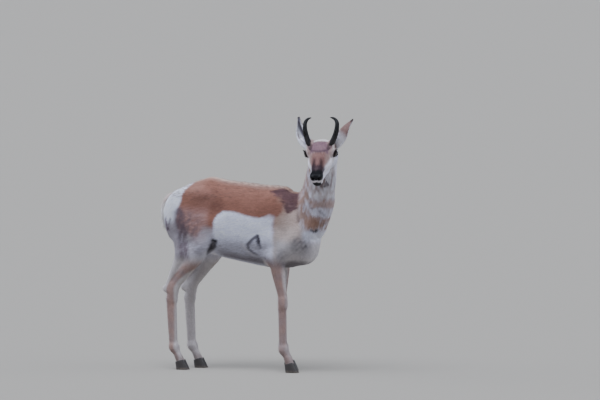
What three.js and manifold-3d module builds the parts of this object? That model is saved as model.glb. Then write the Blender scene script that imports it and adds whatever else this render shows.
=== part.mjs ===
// A life-size pronghorn buck in short summer coat. It stands on all four feet with its neck
// upright and its head turned to its right. Millimetres, +Z up, +X towards the chest, +Y to
// the animal's left, and the ground at Z = 0.
//
// The flesh is one smooth field: sections lofted along the trunk, neck and head, and rounded
// limb lengths, which melt into each other. Each fleshy sub-part is what its own cutters leave
// of that field, with a thin gap to its neighbours. Horns, ears, eyes, tail and hooves are
// lofts set into sockets.
import * as THREE from "three";
import { mergeVertices } from "three/addons/utils/BufferGeometryUtils.js";
import Module from "manifold-3d";

const wasm = await Module();
wasm.setup();

const vec = (x, y, z) => new THREE.Vector3(x, y, z);
const degrees = THREE.MathUtils.degToRad;
const clamp = THREE.MathUtils.clamp;
const lerp = THREE.MathUtils.lerp;

// Driving dimensions
const GAP = 0.3;
const SIDES = { right: -1, left: 1 };
const HEAD_TURN = degrees(-77.5);
const HEAD_PITCH = degrees(36);
const HEAD_ROLL = degrees(2);
const EYE_MIDPOINT = vec(465, -125, 1048);
const EYE_RADIUS = 21;
const EYE_HALF_SPACING = 57;
const EAR_LENGTH = 140;
const HOOF_LENGTH = 62;

// Coat and horn colours
const RUFOUS = 0xa8684a;
const BUFF = 0xb48f76;
const CREAM = 0xd9d3cc;
const HORN_BLACK = 0x1d1b1a;
const HOOF_BLACK = 0x2a2624;
const EYE_BLACK = 0x0d0a09;

// Fields: a function of a point that is negative inside, and about the distance outside

// The nearer of two distances, melted together where they differ by less than the width
function melt(a, b, width) {
  const share = Math.max(width - Math.abs(a - b), 0) / width;
  return Math.min(a, b) - (share * share * width) / 4;
}

function meltAll(fields, width) {
  return (x, y, z) => fields.reduce((d, field) => melt(d, field(x, y, z), width), Infinity);
}

// A rounded cone from a to b. A flat under 1 makes it that much narrower across than deep.
function limb(a, b, radiusA, radiusB, flat = 1) {
  const ab = b.clone().sub(a);
  const lengthSquared = ab.lengthSq();
  return (x, y, z) => {
    const reach = ((x - a.x) * ab.x + (y - a.y) * ab.y + (z - a.z) * ab.z) / lengthSquared;
    const t = clamp(reach, 0, 1);
    const dx = x - a.x - ab.x * t;
    const dy = (y - a.y - ab.y * t) / flat;
    const dz = z - a.z - ab.z * t;
    return Math.hypot(dx, dy, dz) - lerp(radiusA, radiusB, t);
  };
}

// An ellipsoid, leaned forward about the across axis by lean
function swell(centre, radii, lean = 0) {
  const c = Math.cos(lean);
  const s = Math.sin(lean);
  return (x, y, z) => {
    const dx = x - centre.x;
    const dz = z - centre.z;
    const px = (dx * c - dz * s) / radii.x;
    const py = (y - centre.y) / radii.y;
    const pz = (dx * s + dz * c) / radii.z;
    const k = Math.hypot(px, py, pz);
    const slope = Math.hypot(px / radii.x, py / radii.y, pz / radii.z);
    return slope < 1e-6 ? -Math.min(radii.x, radii.y, radii.z) : (k * (k - 1)) / slope;
  };
}

// Reads the rows of a table of sections at any place along it, on a smooth curve
function along(rows) {
  const keys = Object.keys(rows[0]);
  const last = rows.length - 1;
  const slopes = rows.map((row, i) => {
    const before = rows[Math.max(i - 1, 0)];
    const after = rows[Math.min(i + 1, last)];
    return Object.fromEntries(keys.map((k) => [k, (after[k] - before[k]) / (after.at - before.at)]));
  });
  return (place) => {
    const at = clamp(place, rows[0].at, rows[last].at);
    let i = 0;
    while (i < last - 1 && rows[i + 1].at < at) i += 1;
    const step = rows[i + 1].at - rows[i].at;
    const t = (at - rows[i].at) / step;
    const found = {};
    for (const k of keys) {
      const rise = rows[i + 1][k] - rows[i][k];
      const bend = (1 - t) * (slopes[i][k] * step - rise) - t * (slopes[i + 1][k] * step - rise);
      found[k] = rows[i][k] + t * rise + t * (1 - t) * bend;
    }
    return found;
  };
}

// The distance from an oval section with its own sizes above and below its widest level
function ovalDistance(across, up, section, closing, power) {
  const half = section.half * closing;
  const above = up > section.level;
  const height = (above ? section.top - section.level : section.level - section.bottom) * closing;
  const u = Math.abs(across) / half;
  const v = Math.abs(up - section.level) / height;
  const q = (u ** power + v ** power) ** (1 / power);
  if (q < 0.05) return -Math.min(half, height);
  const steepU = (u / q) ** (power - 1) / half;
  const steepV = (v / q) ** (power - 1) / height;
  return (q - 1) / Math.hypot(steepU, steepV);
}

// How far a section is drawn in near the rounded ends of a loft, and how far past them it is
function rounding(rows, roundStart, roundEnd) {
  const start = rows[0].at;
  const end = rows[rows.length - 1].at;
  return (at) => {
    const into = Math.max((start + roundStart - at) / roundStart, (at - end + roundEnd) / roundEnd, 0);
    return { closing: Math.sqrt(Math.max(1 - into * into, 1e-4)), past: Math.max(start - at, at - end) };
  };
}

function loftField(rows, roundStart, roundEnd, power) {
  const read = along(rows);
  const ends = rounding(rows, roundStart, roundEnd);
  return (at, across, up) => {
    const { closing, past } = ends(at);
    return Math.max(ovalDistance(across, up, read(at), closing, power), past);
  };
}

// Trunk, from the buttocks to the breast: back line, belly line, half width and widest level
const trunk = loftField(
  [
    { at: -364, top: 820, bottom: 668, half: 98, level: 752 },
    { at: -300, top: 856, bottom: 612, half: 109, level: 744 },
    { at: -220, top: 896, bottom: 572, half: 116, level: 735 },
    { at: -140, top: 914, bottom: 551, half: 120, level: 715 },
    { at: -60, top: 894, bottom: 532, half: 128, level: 692 },
    { at: 30, top: 883, bottom: 515, half: 134, level: 674 },
    { at: 120, top: 873, bottom: 499, half: 126, level: 664 },
    { at: 200, top: 871, bottom: 492, half: 112, level: 654 },
    { at: 280, top: 854, bottom: 498, half: 97, level: 642 },
    { at: 350, top: 818, bottom: 522, half: 82, level: 632 },
    { at: 404, top: 780, bottom: 560, half: 68, level: 630 },
  ],
  85,
  70,
  2.15,
);

// Neck, read by height: its middle, its depth in front and behind, and how far it has turned
const neckRows = [
  { at: 630, x: 318, y: 0, top: 100, bottom: -90, half: 78, level: 0, turn: 0 },
  { at: 690, x: 342, y: 0, top: 100, bottom: -100, half: 80, level: 0, turn: 0 },
  { at: 750, x: 376, y: 0, top: 91, bottom: -96, half: 72, level: 0, turn: -3 },
  { at: 810, x: 394, y: 0, top: 90, bottom: -87, half: 72, level: 0, turn: -8 },
  { at: 870, x: 404, y: -3, top: 86, bottom: -83, half: 69, level: 0, turn: -17 },
  { at: 930, x: 418, y: -8, top: 83, bottom: -82, half: 68, level: 0, turn: -30 },
  { at: 990, x: 431, y: -15, top: 77, bottom: -77, half: 66, level: 0, turn: -45 },
  { at: 1050, x: 443, y: -26, top: 69, bottom: -70, half: 60, level: 0, turn: -60 },
  { at: 1098, x: 445, y: -40, top: 57, bottom: -56, half: 49, level: 0, turn: -68 },
];
const neckSection = along(neckRows);
const neckEnds = rounding(neckRows, 60, 50);
function neck(x, y, z) {
  const section = neckSection(z);
  const { closing, past } = neckEnds(z);
  const c = Math.cos(degrees(section.turn));
  const s = Math.sin(degrees(section.turn));
  const dx = x - section.x;
  const dy = y - section.y;
  return Math.max(ovalDistance(dy * c - dx * s, dx * c + dy * s, section, closing, 2), past);
}

// Head frame: +X along the face to the nose, +Y to the head's left, +Z out of the forehead
const facing = vec(
  Math.cos(HEAD_TURN) * Math.cos(HEAD_PITCH),
  Math.sin(HEAD_TURN) * Math.cos(HEAD_PITCH),
  -Math.sin(HEAD_PITCH),
);
const headLeft = vec(-Math.sin(HEAD_TURN), Math.cos(HEAD_TURN), 0).applyAxisAngle(facing, HEAD_ROLL);
const headUp = facing.clone().cross(headLeft);
const headFrame = new THREE.Matrix4()
  .makeBasis(facing, headLeft, headUp)
  .setPosition(EYE_MIDPOINT);
const toHead = headFrame.clone().invert();
const HEAD_REACH = 260;

// Both sides of a head form: the field is read at the distance from the middle plane
const mirrored = (field) => (x, y, z) => field(x, Math.abs(y), z);

const skull = loftField(
  [
    { at: -118, top: -8, bottom: -76, half: 42, level: -40 },
    { at: -85, top: 14, bottom: -80, half: 49, level: -26 },
    { at: -50, top: 37, bottom: -80, half: 54, level: -14 },
    { at: -20, top: 50, bottom: -76, half: 52, level: -4 },
    { at: 8, top: 54, bottom: -66, half: 50, level: 2 },
    { at: 40, top: 46, bottom: -58, half: 48, level: -6 },
    { at: 75, top: 35, bottom: -50, half: 41, level: -12 },
    { at: 110, top: 25, bottom: -44, half: 32, level: -13 },
    { at: 145, top: 18, bottom: -37, half: 27, level: -11 },
    { at: 170, top: 12, bottom: -34, half: 27, level: -11 },
    { at: 190, top: 6, bottom: -31, half: 24, level: -12 },
  ],
  46,
  26,
  2.3,
);
const headForms = meltAll(
  [
    skull,
    mirrored(limb(vec(-34, 38, -58), vec(60, 20, -57), 27, 17)),
    mirrored(limb(vec(60, 20, -57), vec(150, 7, -50), 17, 12)),
    swell(vec(156, 0, -51), vec(20, 18, 13)),
    mirrored(swell(vec(-14, 42, -40), vec(46, 21, 40))),
    mirrored(limb(vec(22, 44, -20), vec(85, 24, -22), 13, 11)),
    mirrored(swell(vec(2, 50, 3), vec(34, 23, 27))),
    mirrored(swell(vec(-4, 46, 22), vec(32, 20, 18))),
    mirrored(limb(vec(-12, 42, 26), vec(-15, 50, 38), 21, 18)),
    mirrored(swell(vec(-58, 50, 4), vec(26, 22, 22))),
    mirrored(swell(vec(172, 17, -4), vec(17, 12, 15))),
    mirrored(swell(vec(158, 13, -27), vec(30, 14, 10))),
  ],
  14,
);

// Legs, as joints from the body down. Each side has its own stance, read from the fore knee
// and the hock, which the rest of the leg follows.
const FORE_Y = 84;
const HIND_Y = 80;
const FORE_KNEE = { right: vec(252, -80, 330), left: vec(187, 80, 330) };
const HOCK = { right: vec(-318, -76, 372), left: vec(-288, 76, 372) };

function foreJoints(name) {
  const side = SIDES[name];
  const knee = FORE_KNEE[name];
  return {
    shoulder: vec(318, 78 * side, 640),
    elbow: vec(lerp(214, knee.x - 28, 0.5), FORE_Y * side, 552),
    knee,
    fetlock: vec(knee.x + 6, 78 * side, 108),
    coronet: vec(knee.x + 34, 78 * side, 44),
  };
}

function foreLeg(name) {
  const side = SIDES[name];
  const j = foreJoints(name);
  const point = vec(j.elbow.x - 20, j.elbow.y, j.elbow.z + 12);
  const tendonTop = vec(j.knee.x - 11, j.knee.y, j.knee.z - 30);
  const tendonFoot = vec(j.fetlock.x - 12, j.fetlock.y, j.fetlock.z + 10);
  return meltAll(
    [
      swell(vec(238, 72 * side, 720), vec(72, 36, 125), degrees(-22)),
      limb(j.shoulder, j.elbow, 52, 46, 0.75),
      swell(vec(222, 80 * side, 628), vec(58, 36, 62)),
      swell(point, vec(24, 20, 26)),
      limb(j.elbow, vec(j.knee.x - 2, j.knee.y, j.knee.z + 26), 43, 20, 0.8),
      swell(j.knee, vec(24, 22, 34)),
      limb(vec(j.knee.x + 3, j.knee.y, j.knee.z - 20), j.fetlock, 15.5, 14.5),
      limb(tendonTop, tendonFoot, 12, 11, 0.85),
      swell(vec(j.fetlock.x - 2, j.fetlock.y, j.fetlock.z), vec(21, 20, 23)),
      limb(j.fetlock, j.coronet, 16, 20),
    ],
    18,
  );
}

function hindJoints(name) {
  const side = SIDES[name];
  const hock = HOCK[name];
  return {
    hip: vec(-240, 66 * side, 745),
    stifle: vec(lerp(-158, hock.x + 160, 0.5), 88 * side, 596),
    hock,
    fetlock: vec(hock.x + 12, 77 * side, 106),
    coronet: vec(hock.x + 42, 77 * side, 44),
  };
}

function hindLeg(name) {
  const side = SIDES[name];
  const j = hindJoints(name);
  const heel = vec(j.hock.x - 30, j.hock.y, j.hock.z + 14);
  const calf = vec(j.hock.x + 58, 84 * side, 560);
  const shinTop = vec(j.hock.x + 8, j.hock.y, j.hock.z + 22);
  const tendonTop = vec(j.hock.x - 17, j.hock.y, j.hock.z - 30);
  const tendonFoot = vec(j.fetlock.x - 13, j.fetlock.y, j.fetlock.z + 12);
  return meltAll(
    [
      swell(vec(-258, 66 * side, 728), vec(104, 50, 130), degrees(-12)),
      limb(j.hip, j.stifle, 84, 50, 0.6),
      swell(vec(-300, 60 * side, 712), vec(54, 42, 98), degrees(6)),
      limb(vec(-268, 74 * side, 628), calf, 46, 36, 0.75),
      swell(vec(lerp(j.stifle.x, calf.x, 0.55), 82 * side, 562), vec(58, 34, 62), degrees(-24)),
      limb(j.stifle, shinTop, 50, 23, 0.72),
      limb(calf, heel, 32, 11, 0.8),
      limb(heel, j.hock, 15, 24, 0.85),
      limb(shinTop, vec(j.hock.x + 4, j.hock.y, j.hock.z - 34), 25, 21, 0.82),
      limb(vec(j.hock.x + 3, j.hock.y, j.hock.z - 30), j.fetlock, 19, 15.5, 0.9),
      limb(tendonTop, tendonFoot, 15, 12, 0.85),
      swell(vec(j.fetlock.x - 2, j.fetlock.y, j.fetlock.z), vec(22, 20, 23)),
      limb(j.fetlock, j.coronet, 16.5, 20),
    ],
    18,
  );
}

// Haunch, shoulder and flank modelling of the trunk itself
const breast = mirrored(swell(vec(340, 34, 606), vec(56, 48, 78)));
const hipBone = mirrored(swell(vec(-165, 84, 836), vec(46, 22, 26)));
const withersRidge = limb(vec(-140, 0, 887), vec(235, 0, 854), 16, 16);
const flankHollow = mirrored(swell(vec(-92, 150, 790), vec(60, 34, 52)));

const legs = [foreLeg("right"), foreLeg("left"), hindLeg("right"), hindLeg("left")];

function body(x, y, z) {
  let d = melt(trunk(x, y, z), breast(x, y, z), 50);
  d = melt(d, hipBone(x, y, z), 40);
  d = melt(d, withersRidge(x, y, z), 40);
  d = -melt(-d, flankHollow(x, y, z), 40);
  for (const leg of legs) d = melt(d, leg(x, y, z), 42);
  d = melt(d, neck(x, y, z), 62);
  if (Math.hypot(x - EYE_MIDPOINT.x, y - EYE_MIDPOINT.y, z - EYE_MIDPOINT.z) < HEAD_REACH) {
    const p = vec(x, y, z).applyMatrix4(toHead);
    d = melt(d, headForms(p.x, p.y, p.z), 34);
  }
  return d;
}

// Meshing and joining

function manifoldOf(positions, triangles) {
  return new wasm.Manifold(
    new wasm.Mesh({ numProp: 3, vertProperties: positions, triVerts: triangles }),
  );
}

// A closed three.js geometry as a solid with its faces out, after a matrix that may mirror it
function solid(geometry, matrix = new THREE.Matrix4()) {
  const bare = new THREE.BufferGeometry();
  bare.setAttribute("position", geometry.getAttribute("position").clone());
  bare.setIndex(geometry.getIndex());
  const merged = mergeVertices(bare.applyMatrix4(matrix), 1e-3);
  return facingOut(merged.attributes.position.array, [...merged.index.array]);
}

function facingOut(positions, faces) {
  const made = manifoldOf(positions, new Uint32Array(faces));
  if (made.volume() > 0) return made;
  for (let i = 0; i < faces.length; i += 3) [faces[i], faces[i + 1]] = [faces[i + 1], faces[i]];
  return manifoldOf(positions, new Uint32Array(faces));
}

// The closed zero surface of a field inside a box, whose sides clip it. Each cell that the
// surface crosses gives one vertex, moved on to the surface, and the four cells round each
// crossed edge make two triangles.
function surface(field, low, high, cell, frame = new THREE.Matrix4()) {
  const margin = cell.clone().multiplyScalar(1.5);
  const clipped = (x, y, z) => {
    const p = vec(x, y, z);
    const outside = Math.max(
      low.x + margin.x - x,
      low.y + margin.y - y,
      low.z + margin.z - z,
      x - high.x + margin.x,
      y - high.y + margin.y,
      z - high.z + margin.z,
    );
    p.applyMatrix4(frame);
    return Math.max(field(p.x, p.y, p.z), outside);
  };
  const counts = ["x", "y", "z"].map((k) => Math.ceil((high[k] - low[k]) / cell[k]) + 1);
  const [nx, ny, nz] = counts;
  const index = (i, j, k) => (k * ny + j) * nx + i;
  const corner = (i, j, k) => vec(low.x + i * cell.x, low.y + j * cell.y, low.z + k * cell.z);
  const values = new Float64Array(nx * ny * nz);
  for (let k = 0; k < nz; k += 1)
    for (let j = 0; j < ny; j += 1)
      for (let i = 0; i < nx; i += 1) {
        const p = corner(i, j, k);
        values[index(i, j, k)] = clipped(p.x, p.y, p.z) || 1e-9;
      }

  const settle = (p) => {
    const h = 0.4;
    for (let pass = 0; pass < 3; pass += 1) {
      const d = clipped(p.x, p.y, p.z);
      const g = vec(
        clipped(p.x + h, p.y, p.z) - clipped(p.x - h, p.y, p.z),
        clipped(p.x, p.y + h, p.z) - clipped(p.x, p.y - h, p.z),
        clipped(p.x, p.y, p.z + h) - clipped(p.x, p.y, p.z - h),
      ).divideScalar(2 * h);
      const steep = Math.max(g.length(), 0.3);
      const most = 0.35 * Math.min(cell.x, cell.y, cell.z);
      p.addScaledVector(g, -clamp(d / steep, -most, most) / steep);
    }
    return p.applyMatrix4(frame);
  };

  const cells = new Map();
  const positions = [];
  const vertexOf = (i, j, k) => {
    const key = index(i, j, k);
    if (cells.has(key)) return cells.get(key);
    const sum = vec(0, 0, 0);
    let crossings = 0;
    for (let axis = 0; axis < 3; axis += 1)
      for (let side = 0; side < 4; side += 1) {
        const a = [0, 0, 0];
        a[(axis + 1) % 3] = side & 1;
        a[(axis + 2) % 3] = side >> 1;
        const b = [...a];
        b[axis] = 1;
        const va = values[index(i + a[0], j + a[1], k + a[2])];
        const vb = values[index(i + b[0], j + b[1], k + b[2])];
        if (va < 0 === vb < 0) continue;
        const from = corner(i + a[0], j + a[1], k + a[2]);
        sum.add(from.lerp(corner(i + b[0], j + b[1], k + b[2]), va / (va - vb)));
        crossings += 1;
      }
    const p = settle(sum.divideScalar(crossings));
    cells.set(key, positions.length / 3);
    positions.push(p.x, p.y, p.z);
    return cells.get(key);
  };

  const triangles = [];
  const at = (v) => vec(positions[3 * v], positions[3 * v + 1], positions[3 * v + 2]);
  const quad = (a, b, c, d) => {
    if (at(a).distanceTo(at(c)) < at(b).distanceTo(at(d))) triangles.push(a, b, c, a, c, d);
    else triangles.push(a, b, d, b, c, d);
  };
  for (let k = 1; k < nz - 1; k += 1)
    for (let j = 1; j < ny - 1; j += 1)
      for (let i = 1; i < nx - 1; i += 1)
        for (let axis = 0; axis < 3; axis += 1) {
          const step = [0, 0, 0];
          step[axis] = 1;
          const here = values[index(i, j, k)];
          const next = values[index(i + step[0], j + step[1], k + step[2])];
          if (here < 0 === next < 0) continue;
          const u = [0, 0, 0];
          const v = [0, 0, 0];
          u[(axis + 1) % 3] = 1;
          v[(axis + 2) % 3] = 1;
          const ring = [
            vertexOf(i - u[0] - v[0], j - u[1] - v[1], k - u[2] - v[2]),
            vertexOf(i - v[0], j - v[1], k - v[2]),
            vertexOf(i, j, k),
            vertexOf(i - u[0], j - u[1], k - u[2]),
          ];
          if (here > 0) ring.reverse();
          quad(...ring);
        }
  return manifoldOf(new Float32Array(positions), new Uint32Array(triangles));
}

// A closed loft through rings of points that all have the same count, with fans at its ends
function loft(rings) {
  const count = rings[0].length;
  const points = rings.flat();
  const faces = [];
  for (let r = 0; r < rings.length - 1; r += 1)
    for (let i = 0; i < count; i += 1) {
      const a = r * count + i;
      const b = r * count + ((i + 1) % count);
      faces.push(a, b, b + count, a, b + count, a + count);
    }
  for (const [ring, turned] of [
    [0, true],
    [rings.length - 1, false],
  ]) {
    const middle = rings[ring].reduce((sum, p) => sum.add(p), vec(0, 0, 0)).divideScalar(count);
    const hub = points.push(middle) - 1;
    for (let i = 0; i < count; i += 1) {
      const a = ring * count + i;
      const b = ring * count + ((i + 1) % count);
      faces.push(...(turned ? [b, a, hub] : [a, b, hub]));
    }
  }
  return facingOut(new Float32Array(points.flatMap((p) => [p.x, p.y, p.z])), faces);
}

// A flat ring of points with every side moved out by the same width
function widened(ring, normal, width) {
  const count = ring.length;
  const area = ring.reduce((sum, p, i) => sum + p.clone().cross(ring[(i + 1) % count]).dot(normal), 0);
  const outwards = (from, to) => to.clone().sub(from).cross(normal).normalize();
  return ring.map((point, i) => {
    const mitre = outwards(ring[(i + count - 1) % count], point);
    mitre.add(outwards(point, ring[(i + 1) % count]));
    const reach = (2 * Math.sign(area) * width) / Math.max(mitre.lengthSq(), 1);
    return point.clone().addScaledVector(mitre, reach);
  });
}

// An oval ring of points, from its middle and its two half axes
function ovalRing(middle, halfA, halfB, sides) {
  return Array.from({ length: sides }, (_, i) => {
    const angle = (2 * Math.PI * i) / sides;
    return middle
      .clone()
      .addScaledVector(halfA, Math.cos(angle))
      .addScaledVector(halfB, Math.sin(angle));
  });
}

// Only the largest closed surface of a solid
function largest(made) {
  return made.decompose().sort((a, b) => b.volume() - a.volume())[0];
}

// A box so large that one of its faces acts as a cutting plane through point, facing normal
function halfSpace(point, normal) {
  const SIZE = 4000;
  const turn = new THREE.Quaternion().setFromUnitVectors(vec(0, 0, 1), normal.clone().normalize());
  const middle = point.clone().addScaledVector(normal.clone().normalize(), SIZE / 2);
  const matrix = new THREE.Matrix4().compose(middle, turn, vec(1, 1, 1));
  return solid(new THREE.BoxGeometry(SIZE, SIZE, SIZE), matrix);
}

// Cutters

// Splits a solid at a plane into the part on the normal's side and the rest, GAP apart
function beyond(made, point, normal) {
  const shifted = point.clone().addScaledVector(normal.clone().normalize(), GAP / 2);
  return made.intersect(halfSpace(shifted, normal));
}

function before(made, point, normal) {
  const shifted = point.clone().addScaledVector(normal.clone().normalize(), -GAP / 2);
  return made.subtract(halfSpace(shifted, normal));
}

// An arched door outline pressed sideways through the body, from its inner face outwards,
// which parts a leg from the trunk. It is taken in by inset for the leg itself.
function archCutter({ middle, half, spring, rise, inner }, side, inset) {
  const DEPTH = 300;
  const FOOT = 150;
  const shape = new THREE.Shape();
  shape.moveTo(middle - half + inset, FOOT);
  shape.lineTo(middle + half - inset, FOOT);
  shape.lineTo(middle + half - inset, spring);
  shape.absellipse(middle, spring, half - inset, rise - inset, 0, Math.PI, false);
  const geometry = new THREE.ExtrudeGeometry(shape, {
    depth: DEPTH,
    bevelEnabled: false,
    curveSegments: 24,
  });
  // the outline's x and y become X and Z, and its depth runs outwards along Y
  const outward = new THREE.Matrix4().set(
    1, 0, 0, 0,
    0, 0, side, side * (inner + inset),
    0, 1, 0, 0,
    0, 0, 0, 1,
  );
  return solid(geometry, outward);
}

const FORE_ARCH = { middle: 228, half: 92, spring: 590, rise: 90, inner: 36 };
const HIND_ARCH = { middle: -246, half: 128, spring: 690, rise: 128, inner: 15 };
const NECK_CUT = { point: vec(440, 0, 690), normal: vec(160, 0, 135) };
const HEAD_CUT = { point: vec(448, -70, 955), normal: vec(0.157, -0.707, 0.69) };
const KNEE_CUT = -34;
const HOCK_CUT = -40;
const CORONET_SLOPE = vec(-0.3, 0, 1);
const UP = vec(0, 0, 1);

// Sub-parts

const group = new THREE.Group();

// Moves every point to the nearest hundredth and drops the faces that this closes up
function tidied(mesh) {
  const STEP = 0.01;
  const bare = new THREE.BufferGeometry();
  const snapped = mesh.vertProperties.map((value) => Math.round(value / STEP) * STEP);
  bare.setAttribute("position", new THREE.BufferAttribute(snapped, 3));
  bare.setIndex(new THREE.BufferAttribute(mesh.triVerts, 1));
  const merged = mergeVertices(bare, STEP / 4);
  const index = merged.index.array;
  const kept = new Map();
  for (let i = 0; i < index.length; i += 3) {
    const face = [...index.slice(i, i + 3)];
    const key = [...face].sort((a, b) => a - b).join(" ");
    if (new Set(face).size < 3) continue;
    if (!kept.delete(key)) kept.set(key, face);
  }
  merged.setIndex([...kept.values()].flat());
  return merged;
}

function addPart(name, made, colour, roughness = 0.85) {
  const material = new THREE.MeshStandardMaterial({ color: colour, roughness, metalness: 0 });
  const part = new THREE.Mesh(tidied(made.getMesh()), material);
  part.name = name;
  group.add(part);
}

// Tail: a short flat brush that hangs against the buttocks
function tail(grow) {
  const path = new THREE.CatmullRomCurve3([
    vec(-328, 0, 832),
    vec(-356, 0, 818),
    vec(-378, 0, 790),
    vec(-387, 0, 750),
    vec(-384, 0, 708),
    vec(-376, 0, 684),
  ]);
  const LENGTHS = 8;
  const SIDES_ROUND = 10;
  const rings = [];
  for (let i = 0; i <= LENGTHS; i += 1) {
    const t = i / LENGTHS;
    const run = path.getTangentAt(t);
    const middle = path.getPointAt(t).addScaledVector(run, i === 0 ? -grow : 0);
    const thick = vec(-run.z, 0, run.x).multiplyScalar(11 * Math.sqrt(1.02 - t ** 3) + grow);
    const wide = vec(0, 15 + 9 * Math.sin(Math.PI * t) - 12 * t ** 4 + grow, 0);
    rings.push(ovalRing(middle, thick, wide, SIDES_ROUND));
  }
  return loft(rings);
}

// Eye: a globe that looks out sideways and a little forward, in a socket with a rimmed opening
const EYE_TURN = degrees(22);
const EYE_LIFT = degrees(6);
function eyeFrame(side) {
  const look = vec(
    Math.sin(EYE_TURN),
    side * Math.cos(EYE_TURN) * Math.cos(EYE_LIFT),
    Math.sin(EYE_LIFT),
  ).normalize();
  const ahead = vec(1, 0, 0).addScaledVector(look, -look.x).normalize();
  const over = look.clone().cross(ahead).multiplyScalar(side > 0 ? 1 : -1);
  return new THREE.Matrix4()
    .makeBasis(ahead, over, look)
    .setPosition(vec(0, EYE_HALF_SPACING * side, 0))
    .premultiply(headFrame);
}

function eyeball(side, grow) {
  return solid(new THREE.SphereGeometry(EYE_RADIUS + grow, 14, 8), eyeFrame(side));
}

const LID_LENGTH = 18;
const LID_HEIGHT = 13.5;
function lids(side) {
  const ring = new THREE.TorusGeometry(1, 0.21, 4, 14);
  const place = new THREE.Matrix4().makeScale(LID_LENGTH, LID_HEIGHT, 16);
  place.setPosition(vec(0, 0, EYE_RADIUS * 0.72));
  return solid(ring, place.premultiply(eyeFrame(side)));
}

function lidOpening(side) {
  const hole = new THREE.CylinderGeometry(1, 0.8, 30, 14);
  hole.rotateX(Math.PI / 2).scale(LID_LENGTH - 2.5, LID_HEIGHT - 2, 1);
  hole.translate(0, 0, EYE_RADIUS * 0.72 + 12);
  return solid(hole, eyeFrame(side));
}

// Ear: a leaf rolled into a cup, closed at its root and open along its front
const EARS = {
  right: { axis: vec(-50, -9, 129), opening: vec(-0.256, -0.967, 0), bow: 24 },
  left: { axis: vec(71, 45, 114), opening: vec(0.6, 0.78, 0), bow: 12 },
};
const EAR_ROOT = { x: -58, y: 64, z: 6 };
function ear(name, grow) {
  const side = SIDES[name];
  const axis = EARS[name].axis.clone().normalize();
  const opening = EARS[name].opening.clone().addScaledVector(axis, -EARS[name].opening.dot(axis));
  opening.normalize();
  const across = axis.clone().cross(opening).multiplyScalar(side);
  const root = vec(EAR_ROOT.x, EAR_ROOT.y * side, EAR_ROOT.z).applyMatrix4(headFrame);
  const LENGTHS = 9;
  const WALL_POINTS = 8;
  const SUNK = 16;
  const WALL = 4.5;
  const rings = [];
  for (let i = 0; i <= LENGTHS; i += 1) {
    const t = i / LENGTHS;
    const reach = lerp(-SUNK - grow, EAR_LENGTH - (i === LENGTHS ? 0 : 2), t);
    const leaf = 28 * Math.sin(Math.PI * Math.min(0.24 + 0.76 * t ** 0.9, 1)) ** 0.75;
    const radius = Math.max(leaf, 4.5);
    const wrap = degrees(lerp(150, 62, Math.min(t * 1.25, 1)));
    const hollow = clamp((t - 0.16) / 0.16, 0, 1);
    const wall = lerp(radius * 0.9, Math.min(WALL, radius * 0.5), hollow);
    const bow = Math.sin(Math.PI * clamp(t, 0, 1));
    const middle = root.clone().addScaledVector(axis, reach).addScaledVector(opening, -8 * bow);
    middle.addScaledVector(headLeft, EARS[name].bow * bow * side);
    const arc = (size, from, to) =>
      Array.from({ length: WALL_POINTS }, (_, k) => {
        const angle = lerp(from, to, k / (WALL_POINTS - 1));
        return middle
          .clone()
          .addScaledVector(opening, -Math.cos(angle) * size)
          .addScaledVector(across, Math.sin(angle) * size);
      });
    const ring = [...arc(radius, -wrap, wrap), ...arc(radius - wall, wrap, -wrap)];
    rings.push(widened(ring, axis, grow));
  }
  return loft(rings);
}

// Horn: a flat blade up to a small forward prong, then a round tip that hooks in and back
const HORN_BASE = { x: -18, y: 51, z: 40 };
const HORN_SPREAD = { [SIDES.right]: 1, [SIDES.left]: 1.4 };
const HORN_PATH = [
  { out: -4, up: -13, ahead: -6, deep: 18, wide: 11 },
  { out: 2, up: 0, ahead: 0, deep: 22.5, wide: 13.5 },
  { out: 12, up: 28, ahead: 5, deep: 21, wide: 12.5 },
  { out: 19, up: 56, ahead: 8, deep: 17, wide: 12 },
  { out: 22, up: 82, ahead: 8, deep: 12.5, wide: 10.5 },
  { out: 21, up: 101, ahead: 3, deep: 10, wide: 9.5 },
  { out: 14, up: 115, ahead: -5, deep: 8, wide: 7.5 },
  { out: 4, up: 122, ahead: -12, deep: 5.5, wide: 5.2 },
  { out: -6, up: 124, ahead: -17, deep: 1.8, wide: 1.7 },
];
const PRONG_PATH = [
  { out: 17, up: 48, ahead: 10, deep: 12, wide: 6 },
  { out: 19, up: 54, ahead: 24, deep: 10, wide: 5.5 },
  { out: 19, up: 62, ahead: 36, deep: 6, wide: 4 },
  { out: 18, up: 70, ahead: 44, deep: 1.5, wide: 1.3 },
];

function hornLoft(path, side, grow, lengths, sidesRound) {
  const base = vec(HORN_BASE.x, HORN_BASE.y * side, HORN_BASE.z).applyMatrix4(headFrame);
  const ahead = vec(Math.cos(HEAD_TURN), Math.sin(HEAD_TURN), 0);
  const place = (row) =>
    base
      .clone()
      .addScaledVector(headLeft, row.out * HORN_SPREAD[side] * side)
      .addScaledVector(UP, row.up)
      .addScaledVector(ahead, row.ahead);
  const curve = new THREE.CatmullRomCurve3(path.map(place));
  const sizes = along(path.map((row, i) => ({ at: i / (path.length - 1), ...row })));
  const rings = [];
  for (let i = 0; i <= lengths; i += 1) {
    const t = i / lengths;
    const run = curve.getTangent(t);
    const deepWay = (path === PRONG_PATH ? UP : ahead).clone();
    deepWay.addScaledVector(run, -deepWay.dot(run)).normalize();
    const wideWay = run.clone().cross(deepWay);
    const size = sizes(t);
    const middle = curve.getPoint(t).addScaledVector(run, i === 0 ? -grow : 0);
    deepWay.multiplyScalar(size.deep + grow);
    wideWay.multiplyScalar(size.wide + grow);
    rings.push(ovalRing(middle, deepWay, wideWay, sidesRound));
  }
  return loft(rings);
}

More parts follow.
